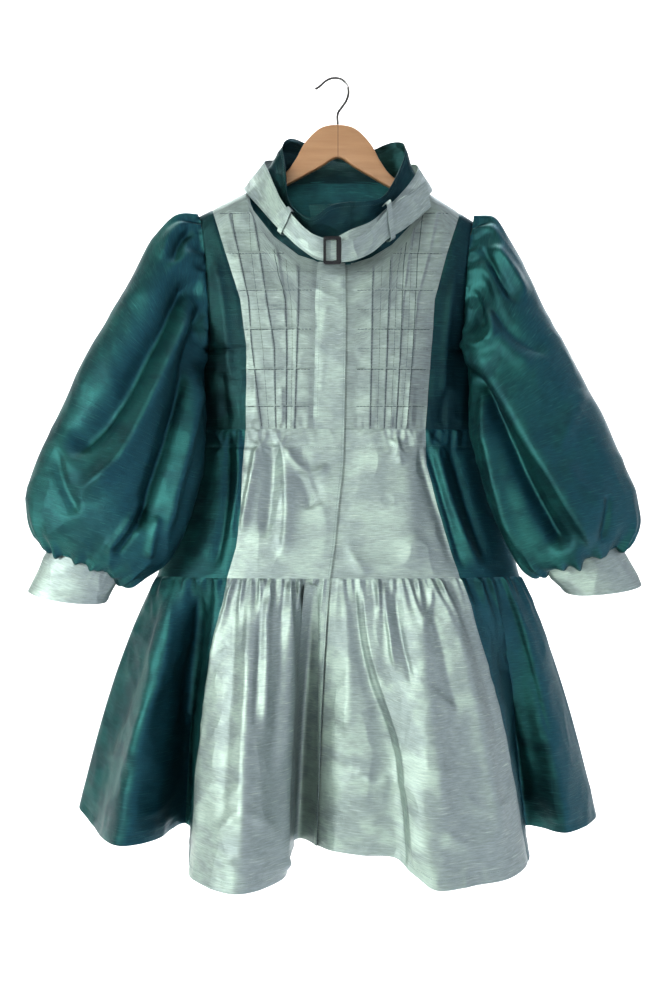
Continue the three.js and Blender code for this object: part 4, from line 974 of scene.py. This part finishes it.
# Funnel collar: a doubled teal band sewn to the neckline, its ends lapped in front. A stitched silver
# strap goes round it and doubles back through a slide buckle of black plastic, and two cloth
# loops keep it in place.
COLLAR = [
    ((17, -53, -170), 17, "front"), ((-9, -53, -175), -9, "front"), ((-35, -50, -190), -30, "front"),
    ((-56, -44, -177), -53, "front"), ((-64, -36, -161), -74, "front"), ((-66, -29, -145), -84, "front"),
    ((-67, -22, -129), -93, "front"), ((-70, -8, -104), -109, "front"), ((-72, 2, -88), -114.5, "front"),
    ((-70, 8, -79), -117, "back"), ((-64, 16, -73), -113, "back"), ((-55, 24, -72), -102, "back"),
    ((-43, 32, -75), -80, "back"), ((-22, 38, -80), -40, "back"), ((0, 40, -82), 0.01, "back"),
    ((24, 39, -83), 40, "back"), ((47, 34, -83), 80, "back"), ((61, 26, -79), 102, "back"),
    ((74, 18, -77), 113, "back"), ((83, 11, -79), 117, "back"), ((87, 4, -84), 114.5, "front"),
    ((86, -7, -103), 107, "front"), ((74, -22, -133), 93, "front"), ((67, -30, -147), 82, "front"),
    ((58, -38, -160), 70, "front"), ((43, -44, -167), 45, "front"), ((16, -49, -170), 15, "front"),
    ((-10, -49.5, -173), -9, "front"), ((-37, -46, -173), -32, "front"),
]
UNDER_FROM = 26
STRAP = [
    ((-9, -60, -218), (-9, -60, -246)), ((-28, -61, -214), (-26, -60, -244)),
    ((-41, -58, -205), (-47, -55, -230)), ((-55, -53, -190), (-66, -49, -212)),
    ((-73, -38, -163), (-84, -41, -193)), ((-86, -20, -132), (-102, -28, -170)),
    ((-92, -10, -117), (-116, -23, -154)), ((-96, 0, -107), (-122, -3, -141)),
    ((-86, 24, -99), (-105, 26, -128)), ((-48, 43, -98), (-60, 41, -122)),
    ((0, 48, -100), (0, 45, -122)), ((50, 44, -101), (60, 41, -124)),
    ((89, 24, -104), (106, 26, -130)), ((104, 0, -112), (123, -3, -143)),
    ((101, -11, -125), (117, -21, -156)), ((92, -21, -140), (105, -29, -174)),
    ((71, -38, -166), (84, -41, -197)), ((43, -52, -194), (46, -54, -226)),
    ((17, -58, -206), (20, -60, -238)),
]
TAIL = [
    ((4.3, -65, -222), (4.3, -65, -249)), ((26, -63, -216), (24, -64, -245)),
    ((43, -58, -203), (42, -60, -236)), ((61, -53, -183), (65, -54, -216)),
    ((78, -44, -166), (82, -47, -205)), ((96, -32, -152), (99, -41, -191)),
    ((113, -20, -136), (119, -30, -172)),
]


def strip(stations, count, rows, ring=False, bulge=0.0):
    """Net of a strip between the curves through its stations' upper and lower points."""
    t = np.linspace(0, 1, count, endpoint=not ring)
    top = curve([s[0] for s in stations], t, ring)[:, None]
    low = curve([s[1] for s in stations], t, ring)[:, None]
    v = np.linspace(0, 1, rows)[None, :, None]
    net = mix(top, low, v)
    away = net * np.array([1, 1, 0])
    away /= np.linalg.norm(away, axis=2, keepdims=True)
    return net + away * bulge * np.sin(math.pi * v)


def collar_stations():
    stations = []
    for k, (top, x, face) in enumerate(COLLAR):
        z = float(np.interp(x, NECK_X, NECK_Z[face]))
        foot = body_point(x, z, face)
        inward = 0.8 + (LAP if k >= UNDER_FROM else 0)
        flat = np.array([foot[0], foot[1], 0.0])
        foot = foot - flat / np.linalg.norm(flat) * inward + np.array([0, 0, -2.5])
        stations.append((top, tuple(foot)))
    return stations


net = strip(collar_stations(), 250, 44, bulge=-3.0)
down = reach(net)
height = 1.8 * noise(net, 48, 101) + 1.4 * crumple(net, 42, 102) + 0.5 * crumple(net, 20, 103)
height = height * smooth(down / 6) * smooth((down[:, -1:] - down) / 10)
height -= 0.5 * np.exp(-((down - 6) / 1.2) ** 2)
collar_net = lift(net, height * edge_calm(net, True, True, False), False, -1)
# The collar wears the darkened teal: painted shade.
cloth("collar", collar_net, SHADED_TEAL, sign=-1)


STRAP_EDGE = 2.4  # from the strap's edge to its stitching


def edged(net, seed):
    """Heights of a doubled strip: pressed edges, a stitched line along both, small waves."""
    down = reach(net)
    up = down[:, -1:] - down
    line = np.exp(-((down - STRAP_EDGE) / 0.8) ** 2) + np.exp(-((up - STRAP_EDGE) / 0.8) ** 2)
    waves = 0.7 * noise(net, 22, seed) + 0.5 * crumple(net, 18, seed + 1)
    return waves * smooth(down / 3) * smooth(up / 3) - 0.35 * line


net = strip(STRAP, 420, 22, ring=True)
strap_net = lift(net, edged(net, 111), True, -1)
cloth("neck_strap", strap_net, SILVER, ring=True, sign=-1)
net = strip(TAIL, 130, 24)
tail_net = lift(net, edged(net, 113), False, 1)
cloth("strap_tail", tail_net, SILVER, thick=1.6)

LOOP_WIDTH = 8.0
LOOPS = {
    "left": dict(stations=STRAP, ring=True, t=3.35 / 19, stand=1.75, above=3, below=3, top=4, low=6, sign=-1,
                 cut=(0.010, 0.05, None), rests_on="neck_strap_cloth"),
    "right": dict(stations=TAIL, ring=False, t=3.2 / 6, stand=1.65, above=9, below=4, top=12, low=12, sign=1,
                  cut=(0.010, 0.07, None), rests_on="strap_tail_cloth"),
}
for word, loop in LOOPS.items():
    ends = []
    for step in (-0.01, 0.01):
        ends.append(curve([np.mean(s, axis=0) for s in loop["stations"]], loop["t"] + step, loop["ring"])[0])
    along = ends[1] - ends[0]
    half = 0.02 * LOOP_WIDTH / 2 / np.linalg.norm(along)
    along[2] = 0
    along /= np.linalg.norm(along)
    away = np.array([along[1], -along[0], 0]) * loop["sign"]
    net = []
    for place in np.linspace(loop["t"] - half, loop["t"] + half, 9):
        top = curve([s[0] for s in loop["stations"]], place, loop["ring"])[0]
        low = curve([s[1] for s in loop["stations"]], place, loop["ring"])[0]
        rise = (top - low) / np.linalg.norm(top - low)
        top, low = top + rise * loop["above"], low - rise * loop["below"]
        stand = away * loop["stand"]
        knots = [top - away * loop["top"], top + stand, mix(top, low, 0.5) + stand, low + stand,
                 low - away * loop["low"]]
        net.append(curve(knots, np.linspace(0, 1, 40)))
    net = np.array(net)
    net = lift(net, 0.3 * noise(net, 9, 121), False, loop["sign"])
    cloth(f"loop_{word}", net, SILVER, sign=loop["sign"], thick=1.0)

GLOSS = plain("buckle plastic", (0.008, 0.009, 0.011), 0.3, {"Specular IOR Level": 0.3})
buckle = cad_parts["buckle"]
buckle.data.materials.clear()
buckle.data.materials.append(GLOSS)
rim = buckle.modifiers.new("rounded rim", "BEVEL")
rim.width = 0.0007
rim.segments = 3
rim.limit_method = "ANGLE"
rim.angle_limit = math.radians(40)

# Stitching: short raised threads, darker than the cloth that they are sewn through. They run along
# the tucks, the closing, the drawstring's channel, the hem and the edges of the strap. At the tucks'
# folded edges the near-black, almost unbroken lines are painted shadow as well as stitching.
THREAD = plain("thread", (0.13, 0.19, 0.18), 0.55)
DARK_THREAD = plain("dark thread", (0.012, 0.06, 0.065), 0.55)
# Near black: painted shadow under the tucks' folded edges, with their stitching; the fine tuck stitching
# uses it too.
TUCK_LINE = plain("tuck thread and shadow", (0.028, 0.048, 0.048), 0.6)


def stitches(name, lines, material, wide=0.42, length=2.3, gap=0.9):
    """One mesh of threads along lines, each a pair of points and outward normals; it also makes the
    near-black marks of painted shadow along the tucks.
    """
    vertices, faces = [], []
    for points, normals in lines:
        run = np.concatenate([[0], np.cumsum(np.linalg.norm(np.diff(points, axis=0), axis=1))])
        for start in np.arange(1.0, run[-1] - length, length + gap):
            at = [start, start + length]
            a, b = np.stack([np.interp(at, run, points[:, k]) for k in range(3)], -1)
            n = np.stack([np.interp(at[:1], run, normals[:, k]) for k in range(3)], -1)[0]
            across = np.cross(b - a, n)
            across *= wide / 2 / max(np.linalg.norm(across), 1e-9)
            up = n * 0.3
            first = len(vertices)
            middle = (a + b) / 2 + up
            ridge = across * 0.6
            vertices += [a - across, a + across, b + across, b - across, middle - ridge, middle + ridge]
            faces += [[first + k for k in f] for f in
                      ((0, 1, 5, 4), (1, 2, 5), (2, 3, 4, 5), (3, 0, 4), (3, 2, 1, 0))]
    mesh = bpy.data.meshes.new(name)
    mesh.from_pydata((np.array(vertices) * MM).tolist(), [], faces)
    placed(mesh, material)


def down_column(net, column, first=0):
    return net[column, first:], facing(net)[column, first:]


def where_line(net, distance, from_end=False, first=0, final=None, sign=1, ring=False):
    """The line at a distance from a net's first row, or from its last one."""
    n = facing(net, ring) * sign
    d = reach(net)
    d = d[:, -1:] - d if from_end else d
    row = np.abs(d - distance).argmin(axis=1)
    i = np.arange(len(net))
    return net[i, row][first:final], n[i, row][first:final]


FAINT_Z = [-204, -255, -304, -354, -404]
FAINT_LEFT = [[-115, -111, -103, -96, -88], [-67, -64, -59, -58, -60]]
FAINT_RIGHT = [[59, 58, 55, 53, 50], [99, 88, 76, 72, 67], [115, 104, 94, 89, 81]]


def level_line(net, normals, z, first, final):
    """A level line over a net's columns first to final."""
    points, out_ways = [], []
    for column in range(first, final + 1):
        heights = -net[column, 6:, 2]
        if heights[0] < -z - 2:
            for source, found in ((net, points), (normals, out_ways)):
                found.append([np.interp(-z, heights, source[column, 6:, k]) for k in range(3)])
    return np.array(points), np.array(out_ways)


def falling_line(net, normals, xs, first, final):
    """A line that runs down a net at the x of a table of five heights."""
    points, out_ways = [], []
    for row in range(12, net.shape[1]):
        x = net[first:final + 1, row, 0]
        goal = falling(net[first + 1, row, 2], LINE_Z, xs)
        if x.min() + 2 < goal < x.max() - 2:
            order = np.argsort(x)
            for source, found in ((net, points), (normals, out_ways)):
                here = source[first:final + 1, row][order]
                found.append([np.interp(goal, x[order], here[:, k]) for k in range(3)])
    return np.array(points), np.array(out_ways)


def yoke_tuck_lines(levels, left_lines_x, right_lines_x):
    lines = []
    for net, first, final, lines_x in ((left_net, left_princess, left_band, left_lines_x),
                                       (right_net, RIGHT_COUNTS[0], right_princess, right_lines_x)):
        normals = facing(net)
        lines += [level_line(net, normals, z, first + 1, final - 1) for z in levels]
        lines += [falling_line(net, normals, xs, first, final) for xs in lines_x]
    return [line for line in lines if len(line[0]) > 3]


# Painted shadow: a near-black, almost unbroken line under each tuck's folded edge, where it is stitched.
stitches("tuck_shadow_and_stitching", yoke_tuck_lines([z - 0.3 for z in TUCK_Z], LEFT_TUCKS, RIGHT_TUCKS), TUCK_LINE,
         wide=1.0, length=4.2, gap=0.12)
stitches("fine_stitching", yoke_tuck_lines(FAINT_Z, FAINT_LEFT, FAINT_RIGHT), TUCK_LINE,
         wide=0.42, length=3.4, gap=0.5)
silver_lines = [
    down_column(left_net, len(left_net) - 2, 9), down_column(left_net, left_band + 2, 12),
    down_column(left_skirt, len(left_skirt) - 3), down_column(left_tier, len(left_tier) - 3),
    down_column(left_tier, len(left_tier) - 8),
    where_line(left_tier, HEM_DEEP, True, tier_left_seam),
    where_line(right_tier, HEM_DEEP, True, 0, right_tier_seam),
    where_line(left_skirt, CHANNEL, False, skirt_left_seam),
    where_line(right_skirt, CHANNEL, False, 20, skirt_right_seam),
    where_line(strap_net, STRAP_EDGE, False, sign=-1, ring=True),
    where_line(strap_net, STRAP_EDGE, True, sign=-1, ring=True),
    where_line(tail_net, STRAP_EDGE), where_line(tail_net, STRAP_EDGE, True),
]
stitches("silver_stitching", silver_lines, THREAD)
teal_lines = [
    where_line(left_tier, HEM_DEEP, True, 0, tier_left_seam),
    where_line(right_tier, HEM_DEEP, True, right_tier_seam),
    where_line(back_tier, HEM_DEEP, True), where_line(back_skirt, CHANNEL),
    where_line(left_skirt, CHANNEL, False, 0, skirt_left_seam),
    where_line(right_skirt, CHANNEL, False, skirt_right_seam),
    where_line(collar_net, 6, sign=-1),
]
stitches("teal_stitching", teal_lines, DARK_THREAD)

# Hanger: two arms of satin wood with a long grain, joined in the middle, that carry the dress by its
# shoulders. The hook is a bent steel wire, set into the join.
WOOD = plain("hanger wood", (0.3, 0.17, 0.08), 0.42, {"Coat Weight": 0.25, "Coat Roughness": 0.25})
JOIN_PLACE = 0.0002
JOIN_HALF = 0.0004
wood_tree = WOOD.node_tree
wood_place = add_node(wood_tree, "TexCoord").outputs["Object"]
grain = stretched(wood_tree, wood_place, (14.0, 120.0, 150.0), 5.0, turn=(0.0, 0.5, 0.0))
grain_colour = blend(wood_tree, grain, (0.235, 0.125, 0.057, 1), (0.40, 0.24, 0.125, 1))
join_place = add_node(wood_tree, "SeparateXYZ", {"Vector": wood_place}).outputs["X"]
join = add_node(wood_tree, "Math", {0: join_place, 1: JOIN_PLACE, 2: JOIN_HALF}, operation="COMPARE")
join_colour = blend(wood_tree, join.outputs["Value"], grain_colour, (0.10, 0.05, 0.022, 1))
wood_tree.links.new(join_colour, wood_tree.nodes["Principled BSDF"].inputs["Base Color"])
WIRE = plain("hook wire", (0.10, 0.10, 0.10), 0.22, {"Metallic": 1.0})

ARMS = [(0, -59.6, -102), (22, -63.5, -114), (43, -83.5, -125.5), (55, -105, -132), (68, -122, -139),
        (90, -136, -152)]
ARM_END = 204.0
ARM_SEAT = 3.15
WOOD_FLAT = 3.6
WOOD_ROUND = 2.4


def arm_outline(sign):
    """One arm's outline from the middle of its top round its tip to the middle of its foot."""
    tilt = 2.5 / 68 if sign > 0 else 0.0
    top = [(x, z - tilt * x) for x, z, _ in ARMS]
    low = [(x, z - tilt * x) for x, _, z in ARMS]
    for x in (118, 150, SIDE[sign]["shoulder"] + 1):
        z = float(shoulder_line(sign * x)) - ARM_SEAT
        top.append((x, z))
        low.append((x, z - 16.5))
    tip = float(shoulder_line(sign * ARM_END)) - ARM_SEAT - 8
    return [*top, (ARM_END - 4, tip + 5), (ARM_END, tip), (ARM_END - 5, tip - 6), *low[::-1]]


outline = arm_outline(1) + [(-x, z) for x, z in arm_outline(-1)[::-1]][1:-1]
edge = evenly(curve([(x, 0, z) for x, z in outline], np.linspace(0, 1, 2001), closed=True), 420)[:-1]
way = np.roll(edge, -1, axis=0) - np.roll(edge, 1, axis=0)
way /= np.linalg.norm(way, axis=1)[:, None]
out_way = np.stack([-way[:, 2], 0 * way[:, 0], way[:, 0]], -1)
bends = [(WOOD_FLAT + WOOD_ROUND * math.cos(a), WOOD_ROUND * (1 - math.sin(a)))
         for a in np.linspace(0, math.pi / 2, 7)]
section = [(-y, inset) for y, inset in bends] + bends[::-1]
vertices = np.concatenate([edge - inset * out_way + [0, y, 0] for y, inset in section]) * MM
count = len(edge)
faces = [[k * count + i, k * count + (i + 1) % count, (k + 1) * count + (i + 1) % count, (k + 1) * count + i]
         for k in range(len(section) - 1) for i in range(count)]
faces.append(list(range(count))[::-1])
faces.append([(len(section) - 1) * count + i for i in range(count)])
mesh = bpy.data.meshes.new("hanger_arms")
mesh.from_pydata(vertices.tolist(), [], faces)
mesh.shade_smooth()
mesh.set_sharp_from_angle(angle=math.radians(50))
arms = placed(mesh, WOOD)
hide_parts("hanger_wood")
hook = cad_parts["hanger_hook"]
hook.data.materials.clear()
hook.data.materials.append(WIRE)

# Studio: a room of pale paper with rounded edges, clear from outside, soft lights, a
# camera where the photo's stood
FLOOR_Z = -1.45
ROOM = (9.0, 6.0, 5.0)
ROOM_MIDDLE = (0.0, -1.0, FLOOR_Z + ROOM[2] / 2)
bpy.ops.mesh.primitive_cube_add(size=1, location=ROOM_MIDDLE)
room = bpy.context.object
room.name = "room"
for vertex in room.data.vertices:
    vertex.co = [c * side for c, side in zip(vertex.co, ROOM)]
bend = room.modifiers.new("sweep", "BEVEL")
bend.width = 1.2
bend.segments = 24
bpy.ops.object.shade_smooth()
PAPER = plain("paper", (0.93, 0.93, 0.93), 0.9)
paper = PAPER.node_tree
inside = add_node(paper, "NewGeometry").outputs["Backfacing"]
clear = add_node(paper, "BsdfTransparent").outputs["BSDF"]
lit = paper.nodes["Principled BSDF"].outputs["BSDF"]
one_way = add_node(paper, "MixShader", {0: inside, 1: clear, 2: lit}).outputs["Shader"]
paper.links.new(one_way, paper.nodes["Material Output"].inputs["Surface"])
room.data.materials.append(PAPER)

AIM = (0.0, 0.0, -0.52)
LIGHTS = [
    dict(name="key", place=(-1.8, -1.7, -0.2), aim=(0.0, 0.0, -0.7), size=0.8, watts=40),
    dict(name="front", place=(-0.3, -2.5, -0.4), aim=(0.0, 0.0, -0.7), size=0.7, watts=6),
    dict(name="fill", place=(2.2, -1.0, -0.3), aim=(0.0, 0.0, -0.7), size=1.0, watts=3.5),
    dict(name="overhead", place=(-0.3, -0.3, 1.5), aim=AIM, size=1.0, watts=2.5),
    dict(name="rear", place=(0.9, 1.7, 0.1), aim=(0.0, 0.0, -0.6), size=1.2, watts=11),
    dict(name="wash", place=(0.0, 1.2, 1.7), aim=(0.0, 2.6, -0.8), size=2.0, watts=105),
]
for light in LIGHTS:
    lamp = bpy.data.lights.new(light["name"], "AREA")
    lamp.size = light["size"]
    lamp.energy = light["watts"]
    holder = bpy.data.objects.new(light["name"], lamp)
    holder.location = light["place"]
    aim = np.array(light["aim"]) - np.array(light["place"])
    flat_reach = math.hypot(aim[0], aim[1])
    holder.rotation_euler = (math.atan2(flat_reach, -aim[2]), 0, math.atan2(aim[1], aim[0]) - math.pi / 2)
    bpy.context.scene.collection.objects.link(holder)

world = bpy.data.worlds.new("studio")
world.use_nodes = True
world.node_tree.nodes["Background"].inputs["Color"].default_value = (1.0, 1.0, 1.0, 1)
world.node_tree.nodes["Background"].inputs["Strength"].default_value = 0.03
bpy.context.scene.world = world
bpy.context.scene.view_settings.view_transform = "Standard"
bpy.context.scene.view_settings.look = "Medium High Contrast"

camera = bpy.data.cameras.new("camera")
camera.lens = 50
camera.sensor_width = 36
eye = bpy.data.objects.new("camera", camera)
eye.location = (-0.0069, -1.8, -0.5447)
eye.rotation_euler = (math.pi / 2, 0, 0)
bpy.context.scene.collection.objects.link(eye)
bpy.context.scene.camera = eye
